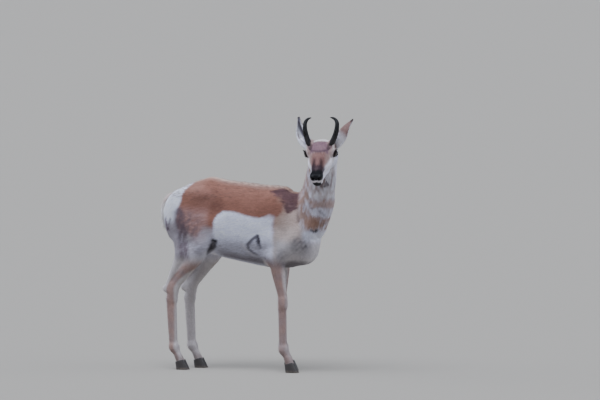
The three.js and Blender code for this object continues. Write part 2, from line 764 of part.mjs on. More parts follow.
function horn(side) {
  const blade = hornLoft(HORN_PATH, side, 0, 14, 10);
  return blade.add(hornLoft(PRONG_PATH, side, 0, 4, 7));
}

const hornRoot = (side) => hornLoft(HORN_PATH, side, GAP, 14, 10);

// Mouth and nostrils, cut into the muzzle
function muzzleCut(points, radius) {
  const curve = new THREE.CatmullRomCurve3(points);
  const LENGTHS = 10;
  const rings = [];
  for (let i = 0; i <= LENGTHS; i += 1) {
    const t = i / LENGTHS;
    const run = curve.getTangentAt(t);
    const size = radius * Math.max(Math.sqrt(1 - (2 * t - 1) ** 8), 0.3);
    const rise = vec(0, 0, 1).addScaledVector(run, -run.z).normalize();
    const inward = run.clone().cross(rise).multiplyScalar(size * 1.6);
    rings.push(ovalRing(curve.getPointAt(t), rise.multiplyScalar(size), inward, 6));
  }
  return loft(rings);
}

function mouthLine() {
  const half = [vec(106, 29, -38), vec(130, 26, -37), vec(155, 21, -35), vec(174, 12, -34)];
  const points = [...half, vec(179, 0, -34), ...half.map((p) => vec(p.x, -p.y, p.z)).reverse()];
  return muzzleCut(points, 2);
}

function nostril(side) {
  const slit = [vec(186, 11, -12), vec(184, 17, -2), vec(174, 25, 2), vec(163, 28, -2)];
  return muzzleCut(slit.map((p) => vec(p.x, p.y * side, p.z)), 3.4);
}

const inHead = (made) => made.transform(headFrame.elements);

function head() {
  const cell = vec(14, 11, 11.5);
  let made = surface(body, vec(-175, -115, -135), vec(215, 115, 115), cell, headFrame);
  made = beyond(made, HEAD_CUT.point, HEAD_CUT.normal);
  for (const side of Object.values(SIDES)) made = made.add(lids(side)).subtract(lidOpening(side));
  made = made.subtract(inHead(mouthLine()));
  for (const [name, side] of Object.entries(SIDES)) {
    made = made
      .subtract(inHead(nostril(side)))
      .subtract(eyeball(side, GAP))
      .subtract(hornRoot(side))
      .subtract(ear(name, 2 * GAP));
  }
  return largest(made);
}

function neckPart() {
  const made = surface(body, vec(250, -160, 600), vec(560, 130, 1150), vec(22, 22, 24));
  const lower = beyond(made, NECK_CUT.point, NECK_CUT.normal);
  return largest(before(lower, HEAD_CUT.point, HEAD_CUT.normal));
}

function torso() {
  let made = surface(body, vec(-430, -200, 430), vec(560, 200, 1000), vec(36, 30, 32));
  made = before(made, NECK_CUT.point, NECK_CUT.normal);
  for (const side of Object.values(SIDES)) {
    made = made.subtract(archCutter(FORE_ARCH, side, 0)).subtract(archCutter(HIND_ARCH, side, 0));
  }
  return largest(made.subtract(tail(GAP)));
}

// A leg's thick upper length, out of its arch, down to the fore knee or hock
function upperLeg(arch, side, cutHeight, cell) {
  const reach = arch.half + 30;
  const low = vec(arch.middle - reach, side > 0 ? 5 : -190, cutHeight - 80);
  const high = vec(arch.middle + reach, side > 0 ? 190 : -5, arch.spring + arch.rise + 45);
  const made = surface(body, low, high, cell).intersect(archCutter(arch, side, GAP));
  return largest(beyond(made, vec(0, 0, cutHeight), UP));
}

// A leg's shank, down to the slope where the hooves begin
function lowerLeg(joints, side, cutHeight) {
  const low = vec(joints.fetlock.x - 70, side > 0 ? 40 : -120, 4);
  const high = vec(joints.coronet.x + 50, side > 0 ? 120 : -40, cutHeight + 80);
  const made = surface(body, low, high, vec(10, 10, 24));
  const shank = before(made, vec(0, 0, cutHeight), UP);
  return largest(beyond(shank, joints.coronet, CORONET_SLOPE));
}

// One of a foot's two hooves: a half-moon sole, drawn in and tilted back up to the coronet
function hoof(joints, inOut) {
  const HALF_WIDTH = 11.5;
  const HALF_SPACING = 12.6;
  const SIDES_ROUND = 12;
  const { coronet } = joints;
  const slope = CORONET_SLOPE.clone().normalize();
  const rings = [];
  for (const t of [0, 0.12, 1]) {
    const halfLength = lerp(HOOF_LENGTH / 2, 21, t);
    const middle = vec(coronet.x + lerp(15, 0, t), coronet.y + HALF_SPACING * inOut, 0);
    rings.push(
      Array.from({ length: SIDES_ROUND }, (_, i) => {
        const angle = (2 * Math.PI * i) / SIDES_ROUND;
        const point = Math.max(Math.cos(angle), 0) ** 2 * lerp(0.45, 0.1, t);
        const ahead = Math.cos(angle) * halfLength;
        const width = Math.sin(angle) * (HALF_WIDTH - (t === 0 ? 1.2 : 0)) * (1 - point);
        const top = coronet.z - GAP / 2 - ((middle.x + ahead - coronet.x) * slope.x) / slope.z;
        return vec(middle.x + ahead, middle.y + width, top * t);
      }),
    );
  }
  return loft(rings);
}

addPart("torso", torso(), RUFOUS);
addPart("neck", neckPart(), BUFF);
addPart("head", head(), BUFF);
addPart("tail", tail(0), CREAM);
for (const [name, side] of Object.entries(SIDES)) {
  addPart(`eye_${name}`, eyeball(side, 0), EYE_BLACK, 0.08);
  addPart(`ear_${name}`, ear(name, 0), BUFF);
  addPart(`horn_${name}`, horn(side), HORN_BLACK, 0.5);
  const fore = foreJoints(name);
  const hind = hindJoints(name);
  const foreCut = fore.knee.z + KNEE_CUT;
  const hindCut = hind.hock.z + HOCK_CUT;
  addPart(`foreleg_upper_${name}`, upperLeg(FORE_ARCH, side, foreCut, vec(21, 19, 32)), BUFF);
  addPart(`foreleg_lower_${name}`, lowerLeg(fore, side, foreCut), BUFF);
  addPart(`hindleg_upper_${name}`, upperLeg(HIND_ARCH, side, hindCut, vec(26, 20, 32)), RUFOUS);
  addPart(`hindleg_lower_${name}`, lowerLeg(hind, side, hindCut), BUFF);
  for (const [claw, inOut] of [
    ["inner", -side],
    ["outer", side],
  ]) {
    addPart(`hoof_fore_${name}_${claw}`, hoof(fore, inOut), HOOF_BLACK, 0.5);
    addPart(`hoof_hind_${name}_${claw}`, hoof(hind, inOut), HOOF_BLACK, 0.5);
  }
}

// The origin is on the ground, under the middle of the whole animal
const extent = new THREE.Box3().setFromObject(group, true);
const middle = extent.getCenter(vec(0, 0, 0));
group.position.set(-Math.round(middle.x), -Math.round(middle.y), 0);

export default group;
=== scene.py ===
# A life-size pronghorn buck in short summer coat, standing on its four split hooves with its
# head turned to its right. One skin covers the whole flesh, and a coat of small pointed tufts
# lies on it. Metres, +Z up, +X towards the chest, +Y to the animal's left.
import math

import bmesh
import bpy
import numpy as np
from mathutils import Matrix, Vector
from mathutils.bvhtree import BVHTree


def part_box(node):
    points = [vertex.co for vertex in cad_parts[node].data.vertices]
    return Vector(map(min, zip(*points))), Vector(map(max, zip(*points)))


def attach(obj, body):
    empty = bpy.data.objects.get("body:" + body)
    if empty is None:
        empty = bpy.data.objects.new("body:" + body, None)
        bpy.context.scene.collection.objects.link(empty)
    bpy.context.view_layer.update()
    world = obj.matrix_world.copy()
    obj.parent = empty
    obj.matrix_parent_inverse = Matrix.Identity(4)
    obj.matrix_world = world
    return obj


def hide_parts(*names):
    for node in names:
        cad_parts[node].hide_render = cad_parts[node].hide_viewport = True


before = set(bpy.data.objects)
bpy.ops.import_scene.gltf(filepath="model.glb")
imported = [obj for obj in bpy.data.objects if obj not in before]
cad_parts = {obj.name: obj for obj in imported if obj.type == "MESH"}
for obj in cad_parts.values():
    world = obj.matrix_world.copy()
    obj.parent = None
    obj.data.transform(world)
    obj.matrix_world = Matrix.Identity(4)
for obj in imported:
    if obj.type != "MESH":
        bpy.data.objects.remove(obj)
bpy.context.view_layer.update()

# Flesh
# The live animal's trunk, neck, head and legs run into each other with no edge between them.
# They are measured here as one field of distances, in millimetres from the ground under the
# body: rounded lengths and swellings, which melt together where they meet.
EYE_MIDPOINT = (465, -125, 1048)
HEAD_TURN = math.radians(-77.5)
HEAD_PITCH = math.radians(36)
HEAD_ROLL = math.radians(2)
SIDES = {"right": -1, "left": 1}


def eye_centre(name):
    low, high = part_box(f"eye_{name}")
    return np.array((low + high) / 2)


EYES = {name: eye_centre(name) for name in SIDES}
BODY_ORIGIN = (EYES["left"] + EYES["right"]) / 2 - np.array(EYE_MIDPOINT) / 1000


def to_body(points):
    return (np.asarray(points, float) - BODY_ORIGIN) * 1000


def from_body(points):
    return np.asarray(points, float) / 1000 + BODY_ORIGIN


def smooth(low, high, value):
    t = np.clip((value - low) / (high - low), 0, 1)
    return t * t * (3 - 2 * t)


def melt(a, b, width):
    share = np.maximum(width - np.abs(a - b), 0) / width
    return np.minimum(a, b) - share * share * width / 4


def melt_all(fields, width):
    def read(p):
        d = fields[0](p)
        for field in fields[1:]:
            d = melt(d, field(p), width)
        return d

    return read


def limb(a, b, radius_a, radius_b, flat=1.0):
    a, b = np.array(a, float), np.array(b, float)
    run = b - a

    def read(p):
        t = np.clip((p - a) @ run / (run @ run), 0, 1)
        d = p - a - t[:, None] * run
        return np.sqrt(d[:, 0] ** 2 + (d[:, 1] / flat) ** 2 + d[:, 2] ** 2) - (
            radius_a + (radius_b - radius_a) * t
        )

    return read


def swell(centre, radii, lean=0.0):
    c, s = math.cos(math.radians(lean)), math.sin(math.radians(lean))

    def read(p):
        dx, dy, dz = (p - np.array(centre, float)).T
        x, y, z = (dx * c - dz * s) / radii[0], dy / radii[1], (dx * s + dz * c) / radii[2]
        k = np.sqrt(x**2 + y**2 + z**2)
        slope = np.sqrt((x / radii[0]) ** 2 + (y / radii[1]) ** 2 + (z / radii[2]) ** 2)
        return k * (k - 1) / np.maximum(slope, 1e-6)

    return read


def along(rows):
    """Reads a table of sections at any place along it, on a smooth curve."""
    table = np.array(rows, float)
    at, values = table[:, 0], table[:, 1:]
    last = len(rows) - 1
    before = np.maximum(np.arange(last + 1) - 1, 0)
    after = np.minimum(np.arange(last + 1) + 1, last)
    slopes = (values[after] - values[before]) / (at[after] - at[before])[:, None]

    def read(place):
        place = np.clip(place, at[0], at[-1])
        i = np.clip(np.searchsorted(at, place) - 1, 0, last - 1)
        step = (at[i + 1] - at[i])[:, None]
        t = (place - at[i])[:, None] / step
        rise = values[i + 1] - values[i]
        bend = (1 - t) * (slopes[i] * step - rise) - t * (slopes[i + 1] * step - rise)
        return (values[i] + t * rise + t * (1 - t) * bend).T

    return read


def oval(across, up, section, closing, power):
    top, bottom, half, level = section
    half = half * closing
    height = np.where(up > level, top - level, level - bottom) * closing
    u, v = np.abs(across) / half, np.abs(up - level) / height
    q = np.maximum((u**power + v**power) ** (1 / power), 0.05)
    return (q - 1) / np.hypot((u / q) ** (power - 1) / half, (v / q) ** (power - 1) / height)


def rounded_ends(rows, round_start, round_end):
    start, end = rows[0][0], rows[-1][0]

    def read(at):
        into = np.maximum((start + round_start - at) / round_start, (at - end + round_end) / round_end)
        closing = np.sqrt(np.maximum(1 - np.maximum(into, 0) ** 2, 1e-4))
        return closing, np.maximum(start - at, at - end)

    return read


def loft(rows, round_start, round_end, power):
    read, ends = along(rows), rounded_ends(rows, round_start, round_end)

    def distance(at, across, up):
        closing, past = ends(at)
        return np.maximum(oval(across, up, read(at), closing, power), past)

    return distance


# Trunk sections: place along the back, back line, belly line, half width, widest level
trunk = loft(
    [
        (-364, 820, 668, 98, 752),
        (-300, 856, 612, 109, 744),
        (-220, 896, 572, 116, 735),
        (-140, 914, 551, 120, 715),
        (-60, 894, 532, 128, 692),
        (30, 883, 515, 134, 674),
        (120, 873, 499, 126, 664),
        (200, 871, 492, 112, 654),
        (280, 854, 498, 97, 642),
        (350, 818, 522, 82, 632),
        (404, 780, 560, 68, 630),
    ],
    85,
    70,
    2.15,
)

# Neck sections by height: depth in front and behind, half width, level, middle x and y, turn
NECK = [
    (630, 100, -90, 78, 0, 318, 0, 0),
    (690, 100, -100, 80, 0, 342, 0, 0),
    (750, 91, -96, 72, 0, 376, 0, -3),
    (810, 90, -87, 72, 0, 394, 0, -8),
    (870, 86, -83, 69, 0, 404, -3, -17),
    (930, 83, -82, 68, 0, 418, -8, -30),
    (990, 77, -77, 66, 0, 431, -15, -45),
    (1050, 69, -70, 60, 0, 443, -26, -60),
    (1098, 57, -56, 49, 0, 445, -40, -68),
]
neck_section, neck_ends = along(NECK), rounded_ends(NECK, 60, 50)


def neck(p):
    x, y, z = p.T
    *section, middle_x, middle_y, turn = neck_section(z)
    closing, past = neck_ends(z)
    c, s = np.cos(np.radians(turn)), np.sin(np.radians(turn))
    dx, dy = x - middle_x, y - middle_y
    return np.maximum(oval(dy * c - dx * s, dx * c + dy * s, section, closing, 2), past)


def folded(p):
    """The points, with those of the right side mirrored to the left."""
    return np.column_stack((p[:, 0], np.abs(p[:, 1]), p[:, 2]))


def mirrored(field):
    return lambda p: field(folded(p))


facing = np.array(
    [
        math.cos(HEAD_TURN) * math.cos(HEAD_PITCH),
        math.sin(HEAD_TURN) * math.cos(HEAD_PITCH),
        -math.sin(HEAD_PITCH),
    ]
)
head_left = Matrix.Rotation(HEAD_ROLL, 3, Vector(facing)) @ Vector(
    (-math.sin(HEAD_TURN), math.cos(HEAD_TURN), 0)
)
head_left = np.array(head_left)
HEAD_AXES = np.array([facing, head_left, np.cross(facing, head_left)])


def to_head(points):
    """Body millimetres to head millimetres: x to the nose, y to the head's left, z up."""
    return (points - np.array(EYE_MIDPOINT)) @ HEAD_AXES.T


def from_head(points):
    return np.asarray(points, float) @ HEAD_AXES + np.array(EYE_MIDPOINT)


skull = loft(
    [
        (-118, -8, -76, 42, -40),
        (-85, 14, -80, 49, -26),
        (-50, 37, -80, 54, -14),
        (-20, 50, -76, 52, -4),
        (8, 54, -66, 50, 2),
        (40, 46, -58, 48, -6),
        (75, 35, -50, 41, -12),
        (110, 25, -44, 32, -13),
        (145, 18, -37, 27, -11),
        (170, 12, -34, 27, -11),
        (190, 6, -31, 24, -12),
    ],
    46,
    26,
    2.3,
)
head_forms = melt_all(
    [
        lambda p: skull(*p.T),
        mirrored(limb((-34, 38, -58), (60, 20, -57), 27, 17)),
        mirrored(limb((60, 20, -57), (150, 7, -50), 17, 12)),
        swell((156, 0, -51), (20, 18, 13)),
        mirrored(swell((-14, 42, -40), (46, 21, 40))),
        mirrored(limb((22, 44, -20), (85, 24, -22), 13, 11)),
        mirrored(swell((2, 50, 3), (34, 23, 27))),
        mirrored(swell((-4, 46, 22), (32, 20, 18))),
        mirrored(limb((-12, 42, 26), (-15, 50, 38), 21, 18)),
        mirrored(swell((-58, 50, 4), (26, 22, 22))),
        mirrored(swell((172, 17, -4), (17, 12, 15))),
        mirrored(swell((158, 13, -27), (30, 14, 10))),
    ],
    14,
)

# Leg joints. Each side has its own stance, read from the fore knee and the hock.
FORE_KNEE = {"right": (252, -80, 330), "left": (187, 80, 330)}
HOCK = {"right": (-318, -76, 372), "left": (-288, 76, 372)}
CORONET_HEIGHT = 44


def fore_joints(name):
    side, knee = SIDES[name], FORE_KNEE[name]
    return {
        "shoulder": (318, 78 * side, 640),
        "elbow": ((186 + knee[0]) / 2, 84 * side, 552),
        "knee": knee,
        "fetlock": (knee[0] + 6, 78 * side, 108),
        "coronet": (knee[0] + 34, 78 * side, CORONET_HEIGHT),
    }


def hind_joints(name):
    side, hock = SIDES[name], HOCK[name]
    return {
        "hip": (-240, 66 * side, 745),
        "stifle": ((2 + hock[0]) / 2, 88 * side, 596),
        "hock": hock,
        "fetlock": (hock[0] + 12, 77 * side, 106),
        "coronet": (hock[0] + 42, 77 * side, CORONET_HEIGHT),
    }


def fore_leg(name):
    side, j = SIDES[name], fore_joints(name)
    (ex, ey, ez), (kx, ky, kz), (fx, fy, fz) = j["elbow"], j["knee"], j["fetlock"]
    return melt_all(
        [
            swell((238, 72 * side, 720), (72, 36, 125), -22),
            limb(j["shoulder"], j["elbow"], 52, 46, 0.75),
            swell((222, 80 * side, 628), (58, 36, 62)),
            swell((ex - 20, ey, ez + 12), (24, 20, 26)),
            limb(j["elbow"], (kx - 2, ky, kz + 26), 43, 20, 0.8),
            swell(j["knee"], (24, 22, 34)),
            limb((kx + 3, ky, kz - 20), j["fetlock"], 15.5, 14.5),
            limb((kx - 11, ky, kz - 30), (fx - 12, fy, fz + 10), 12, 11, 0.85),
            swell((fx - 2, fy, fz), (21, 20, 23)),
            limb(j["fetlock"], j["coronet"], 16, 20),
        ],
        18,
    )


def hind_leg(name):
    side, j = SIDES[name], hind_joints(name)
    (hx, hy, hz), (fx, fy, fz) = j["hock"], j["fetlock"]
    heel, calf, shin_top = (hx - 30, hy, hz + 14), (hx + 58, 84 * side, 560), (hx + 8, hy, hz + 22)
    stifle_x = j["stifle"][0]
    return melt_all(
        [
            swell((-258, 66 * side, 728), (104, 50, 130), -12),
            limb(j["hip"], j["stifle"], 84, 50, 0.6),
            swell((-300, 60 * side, 712), (54, 42, 98), 6),
            limb((-268, 74 * side, 628), calf, 46, 36, 0.75),
            swell((0.45 * stifle_x + 0.55 * calf[0], 82 * side, 562), (58, 34, 62), -24),
            limb(j["stifle"], shin_top, 50, 23, 0.72),
            limb(calf, heel, 32, 11, 0.8),
            limb(heel, j["hock"], 15, 24, 0.85),
            limb(shin_top, (hx + 4, hy, hz - 34), 25, 21, 0.82),
            limb((hx + 3, hy, hz - 30), j["fetlock"], 19, 15.5, 0.9),
            limb((hx - 17, hy, hz - 30), (fx - 13, fy, fz + 12), 15, 12, 0.85),
            swell((fx - 2, fy, fz), (22, 20, 23)),
            limb(j["fetlock"], j["coronet"], 16.5, 20),
        ],
        18,
    )


breast = mirrored(swell((340, 34, 606), (56, 48, 78)))
hip_bone = mirrored(swell((-165, 84, 836), (46, 22, 26)))
withers_ridge = limb((-140, 0, 887), (235, 0, 854), 16, 16)
flank_hollow = mirrored(swell((-92, 150, 790), (60, 34, 52)))
legs = [fore_leg("right"), fore_leg("left"), hind_leg("right"), hind_leg("left")]
HEAD_REACH = 260


def flesh(p):
    """Distance of body points from the outside of the coat: negative inside."""
    d = melt(trunk(*p.T), breast(p), 50)
    d = melt(d, hip_bone(p), 40)
    d = melt(d, withers_ridge(p), 40)
    d = -melt(-d, flank_hollow(p), 40)
    for leg in legs:
        d = melt(d, leg(p), 42)
    d = melt(d, neck(p), 62)
    near = np.linalg.norm(p - np.array(EYE_MIDPOINT), axis=1) < HEAD_REACH
    if near.any():
        d[near] = melt(d[near], head_forms(to_head(p[near])), 34)
    return d


def flesh_normals(p, distance):
    """Unit outward directions of the field at points of known distance, and its steepness."""
    step = 0.5
    slope = np.empty_like(p)
    for axis in range(3):
        shift = np.zeros(3)
        shift[axis] = step
        slope[:, axis] = (flesh(p + shift) - distance) / step
    steep = np.linalg.norm(slope, axis=1)
    return slope / np.maximum(steep, 1e-6)[:, None], steep


# Skin
# One hide covers the trunk, neck, head, ears, legs and the dock of the tail, with no seam. It
# lies inside the outline of the coat by the depth of the hair: deep on the rump and neck,
# thin on the legs and almost bare on the muzzle.
FLESH_NODES = ["torso", "neck", "head", "tail", "ear_left", "ear_right"] + [
    f"{leg}_{part}_{name}"
    for leg in ("foreleg", "hindleg")
    for part in ("upper", "lower")
    for name in SIDES
]
SKIN_TRIANGLES = 170_000
FINE_VOXEL = 0.0024
SLIT_DEPTH = 7.0
SEAM_CLOSING = 0.0014  # the push outwards that closes the cuts between the nodes


def coat_depth(p):
    """How deep the hair is at body points, in millimetres."""
    x, _, z = p.T
    depth = np.full(len(p), 5.5)
    depth = depth + 2.5 * smooth(-250, -340, x) * smooth(560, 680, z)
    depth = depth + 1.5 * smooth(330, 400, x) * smooth(560, 700, z)
    depth = depth + (2.2 - depth) * smooth(520, 400, z)
    h = to_head(p)
    inside = smooth(235, 190, np.linalg.norm(h - (60, 0, -15), axis=1))
    face = 2.6 - 1.2 * smooth(-20, 60, h[:, 0]) - 0.9 * smooth(120, 165, h[:, 0])
    return depth + (face - depth) * inside * smooth(-175, -110, h[:, 0])


def joined_copy(names):
    """One bmesh of merged copies of CAD nodes."""
    bm = bmesh.new()
    for node in names:
        bm.from_mesh(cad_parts[node].data)
    bmesh.ops.remove_doubles(bm, verts=bm.verts, dist=1e-5)
    return bm


def horn_stub(name):
    """The horn's root up to just past the skin, which plugs its socket."""
    bm = bmesh.new()
    bm.from_mesh(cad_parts[f"horn_{name}"].data)
    bmesh.ops.remove_doubles(bm, verts=bm.verts, dist=1e-5)
    rim = from_body(from_head([(-14, 51 * SIDES[name], 46)]))[0]
    parts = bm.verts[:] + bm.edges[:] + bm.faces[:]
    bmesh.ops.bisect_plane(bm, geom=parts, plane_co=rim, plane_no=(0, 0, 1), clear_outer=True)
    bmesh.ops.holes_fill(bm, edges=[e for e in bm.edges if e.is_boundary])
    return bm


def object_from(bm, name):
    data = bpy.data.meshes.new(name)
    bm.to_mesh(data)
    bm.free()
    made = bpy.data.objects.new(name, data)
    bpy.context.scene.collection.objects.link(made)
    return made


def apply_modifiers(made):
    """Replaces the object's mesh by what its modifiers make of it."""
    shape = bpy.data.meshes.new_from_object(made.evaluated_get(bpy.context.evaluated_depsgraph_get()))
    made.modifiers.clear()
    made.data = shape
    return made


def points_of(data):
    co = np.empty(len(data.vertices) * 3)
    data.vertices.foreach_get("co", co)
    return co.reshape(-1, 3)


def set_points(data, points):
    data.vertices.foreach_set("co", points.ravel())
    data.update()


def edges_of(data):
    ends = np.empty(len(data.edges) * 2, int)
    data.edges.foreach_get("vertices", ends)
    return ends.reshape(-1, 2)


def neighbours_mean(points, ends, count):
    total = np.zeros((count, points.shape[1]))
    for axis in range(points.shape[1]):
        total[:, axis] = np.bincount(ends[:, 0], points[ends[:, 1], axis], count)
        total[:, axis] += np.bincount(ends[:, 1], points[ends[:, 0], axis], count)
    degree = np.bincount(ends.ravel(), minlength=count)
    return total / np.maximum(degree, 1)[:, None]


def rough_skin():
    bm = joined_copy(FLESH_NODES + ["eye_left", "eye_right"])
    for name in SIDES:
        stub = horn_stub(name)
        plug = bpy.data.meshes.new("plug")
        stub.to_mesh(plug)
        stub.free()
        bm.from_mesh(plug)
    bm.normal_update()
    for v in bm.verts:
        v.co += v.normal * SEAM_CLOSING
    made = object_from(bm, "skin")
    remesh = made.modifiers.new("even", "REMESH")
    remesh.mode = "VOXEL"
    remesh.voxel_size = FINE_VOXEL
    return apply_modifiers(made)


def close_slits(made):
    """Cuts away the walls of the slits that run into the flesh between two nodes, and caps them."""
    bm = bmesh.new()
    bm.from_mesh(made.data)
    places = to_body(np.array([v.co for v in bm.verts]))
    deep = flesh(places) < -SLIT_DEPTH
    deep &= np.linalg.norm(places - np.array(EYE_MIDPOINT), axis=1) > HEAD_REACH
    bm.verts.ensure_lookup_table()
    bmesh.ops.delete(bm, geom=[bm.verts[i] for i in np.nonzero(deep)[0]], context="VERTS")
    rims = [e for e in bm.edges if e.is_boundary]
    caps = bmesh.ops.holes_fill(bm, edges=rims, sides=0)["faces"]
    bmesh.ops.triangulate(bm, faces=caps)
    bm.to_mesh(made.data)
    bm.free()


HORN_ROOT = (-18, 51, 44)
HORN_ROOT_REACH = 26
EYE_RADIUS = 21


def on_leaf(p):
    """1 where a body point belongs to an ear or the tail, which stand clear of the field."""
    h = to_head(p)
    off_horn = np.linalg.norm(folded(h) - HORN_ROOT, axis=1) > HORN_ROOT_REACH
    behind = ((h[:, 0] < -27) | (h[:, 2] > 62)) & off_horn & (np.linalg.norm(h, axis=1) < HEAD_REACH)
    return smooth(1.5, 6.0, flesh(p)) * (behind | (p[:, 0] < -300))


def thin_out(made, keep):
    """Collapses faces down to the skin's budget, fewer where keep (0 to 1 a vertex) is high."""
    group = made.vertex_groups.new(name="thin")
    for level in range(11):
        chosen = np.nonzero(np.round((1 - keep) * 10) == level)[0]
        if len(chosen):
            group.add(chosen.tolist(), level / 10, "REPLACE")
    tool = made.modifiers.new("thin", "DECIMATE")
    tool.ratio = SKIN_TRIANGLES / (2 * len(made.data.polygons))
    tool.vertex_group = "thin"
    tool.vertex_group_factor = 0.35
    apply_modifiers(made)
    made.vertex_groups.clear()
    return made


def vertex_normals(data):
    normals = np.empty(len(data.vertices) * 3)
    data.vertices.foreach_get("normal", normals)
    return normals.reshape(-1, 3)


def settle(made, rounds, reach):
    """Draws the skin on to the flesh, in by the depth of the coat, and evens out its points."""
    data = made.data
    ends = edges_of(data)
    points = to_body(points_of(data))
    leaf = on_leaf(points)[:, None]
    for turn in range(rounds + 1):
        distance = flesh(points)
        normals, steep = flesh_normals(points, distance)
        gap = np.clip(distance + coat_depth(points), -reach, reach)
        points = points - normals * (1 - leaf) * (gap / np.maximum(steep, 0.4))[:, None]
        if turn == rounds:
            break
        pull = neighbours_mean(points, ends, len(points)) - points
        slide = pull - normals * np.sum(pull * normals, axis=1)[:, None]
        points = points + 0.5 * ((1 - leaf) * slide + leaf * 0.5 * pull)
    set_points(data, from_body(points))


skin = rough_skin()
close_slits(skin)
rough_points = to_body(points_of(skin.data))
on_head = smooth(215, 175, np.linalg.norm(to_head(rough_points) - (50, 0, -10), axis=1))
thin_out(skin, np.maximum(on_head, on_leaf(rough_points)))
settle(skin, 5, 5.0)


# Face
# The hide folds in at the lids, the nostrils and the mouth. The lids ride on the eyeballs, which
# look out sideways and a little forward, and the lips meet in a line that ends under the cheek.
EYE_TURN = math.radians(22)
EYE_LIFT = math.radians(6)
LID_TILT = math.radians(26)  # the eye's front corner hangs lower
LID_AHEAD, LID_BEHIND = 52, 44  # half lengths of the opening, in degrees round the eyeball
LID_OVER, LID_UNDER = 38, 36
LID_EDGE = 2.0
LID_SPREAD = 1.95  # where the lids have run out into the face, as a share of the opening
EYE_HALF_SPACING = 57


def eye_axes(side):
    """Rows: ahead along the lids, up across them, and out along the gaze, in the head's frame."""
    look = np.array(
        [
            math.sin(EYE_TURN),
            side * math.cos(EYE_TURN) * math.cos(EYE_LIFT),
            math.sin(EYE_LIFT),
        ]
    )
    look = look / np.linalg.norm(look)
    level = np.array([1.0, 0, 0]) - look * look[0]
    level = level / np.linalg.norm(level)
    up = np.cross(level, look) * side
    ahead = level * math.cos(LID_TILT) - up * math.sin(LID_TILT)
    return np.array([ahead, np.cross(ahead, look) * side, look])


def eye_reading(h, side):
    """Distance from the eye's centre, and place against the lid opening: 1 on its rim."""
    from_centre = h - (0, EYE_HALF_SPACING * side, 0)
    radius = np.linalg.norm(from_centre, axis=1)
    ahead, up, out = (from_centre / np.maximum(radius, 1e-6)[:, None] @ eye_axes(side).T).T
    turn = np.degrees(np.arccos(np.clip(out, -1, 1)))
    flat = np.maximum(np.hypot(ahead, up), 1e-6)
    ahead, up = turn * ahead / flat, turn * up / flat
    length = np.where(ahead > 0, LID_AHEAD, LID_BEHIND)
    height = np.where(up > 0, LID_OVER, LID_UNDER)
    opening = (np.abs(ahead / length) ** 1.75 + np.abs(up / height) ** 1.75) ** (1 / 1.75)
    return from_centre, radius, opening, up


def fold_lids(h):
    for side in SIDES.values():
        from_centre, radius, opening, up = eye_reading(h, side)
        hidden, edge = EYE_RADIUS - 3.2, EYE_RADIUS + LID_EDGE
        lid = hidden + (edge - hidden) * smooth(0.84, 1.08, opening)
        crease = np.exp(-(((opening - 1.42) / 0.09) ** 2)) * np.where(up > 0, 1.3, 0.6)
        share = smooth(LID_SPREAD, 1.16, opening) * (radius < 50)
        target = radius + (lid - radius) * share - crease * share
        h = h + from_centre * (target / np.maximum(radius, 1e-6) - 1)[:, None]
    return h


MOUTH = [(100, 30, -39), (130, 27, -37), (155, 21.5, -35), (174, 12.5, -34), (180, 0, -34)]
NOSTRIL = [(189, 8, -11), (188, 13, -5), (182, 20, -1), (172, 26, 0), (163, 29, -5)]


def off_path(points, path):
    """Distance of the points from a bent line, and how far along it the nearest place is."""
    path = np.array(path, float)
    steps = np.linalg.norm(np.diff(path, axis=0), axis=1)
    begun = np.concatenate([[0], np.cumsum(steps)]) / steps.sum()
    nearest, place = np.full(len(points), np.inf), np.zeros(len(points))
    for a, b, start, end in zip(path[:-1], path[1:], begun[:-1], begun[1:]):
        t = np.clip((points - a) @ (b - a) / ((b - a) @ (b - a)), 0, 1)
        gap = np.linalg.norm(points - a - t[:, None] * (b - a), axis=1)
        closer = gap < nearest
        nearest[closer] = gap[closer]
        place[closer] = (start + t * (end - start))[closer]
    return nearest, place


def face_relief(h):
    """How far the nostrils, lips, chin and cheeks stand out, in millimetres."""
    half = folded(h)
    rise = np.zeros(len(h))
    off_mouth, at_mouth = off_path(half, MOUTH)
    fade = smooth(0.0, 0.12, at_mouth)
    upper = h[:, 2] > -35
    rise -= 3.4 * np.exp(-((off_mouth / 1.9) ** 2)) * fade
    rise += 1.1 * np.exp(-(((off_mouth - 5.5) / 3.2) ** 2)) * fade * np.where(upper, 1, 0.7)
    off_nostril, at_nostril = off_path(half, NOSTRIL)
    open_half = 4.6 - 2.6 * at_nostril
    rise -= 8.5 * smooth(open_half + 1.4, open_half - 1.6, off_nostril) * smooth(1.0, 0.9, at_nostril)
    rise += 1.5 * np.exp(-(((off_nostril - open_half - 2.6) / 2.2) ** 2))
    rise += 3.0 * np.exp(-np.sum(((h - (160, -3, -60)) / (20, 17, 11)) ** 2, axis=1))
    rise += 4.5 * np.exp(-np.sum(((h - (158, -20, -48)) / (17, 9, 12)) ** 2, axis=1))
    rise += 9.0 * np.exp(-np.sum(((half - (62, 46, -22)) / (36, 30, 26)) ** 2, axis=1))
    front = smooth(165, 178, h[:, 0]) * smooth(-35, -31, h[:, 2]) * smooth(-8, -14, h[:, 2])
    rise -= 1.6 * np.exp(-((h[:, 1] / 1.6) ** 2)) * front
    return rise


def near_features(h):
    """0, 1 or 2 rounds of finer net that head points need."""
    half = folded(h)
    to_eye = np.linalg.norm(half - (4, EYE_HALF_SPACING, 0), axis=1)
    to_nostril = off_path(half, NOSTRIL)[0]
    to_mouth = off_path(half, MOUTH)[0]
    twice = (to_eye < 33) | (to_nostril < 9)
    once = (to_eye < 44) | (to_nostril < 15) | (to_mouth < 8) | (h[:, 0] > 150)
    return once.astype(int) + twice


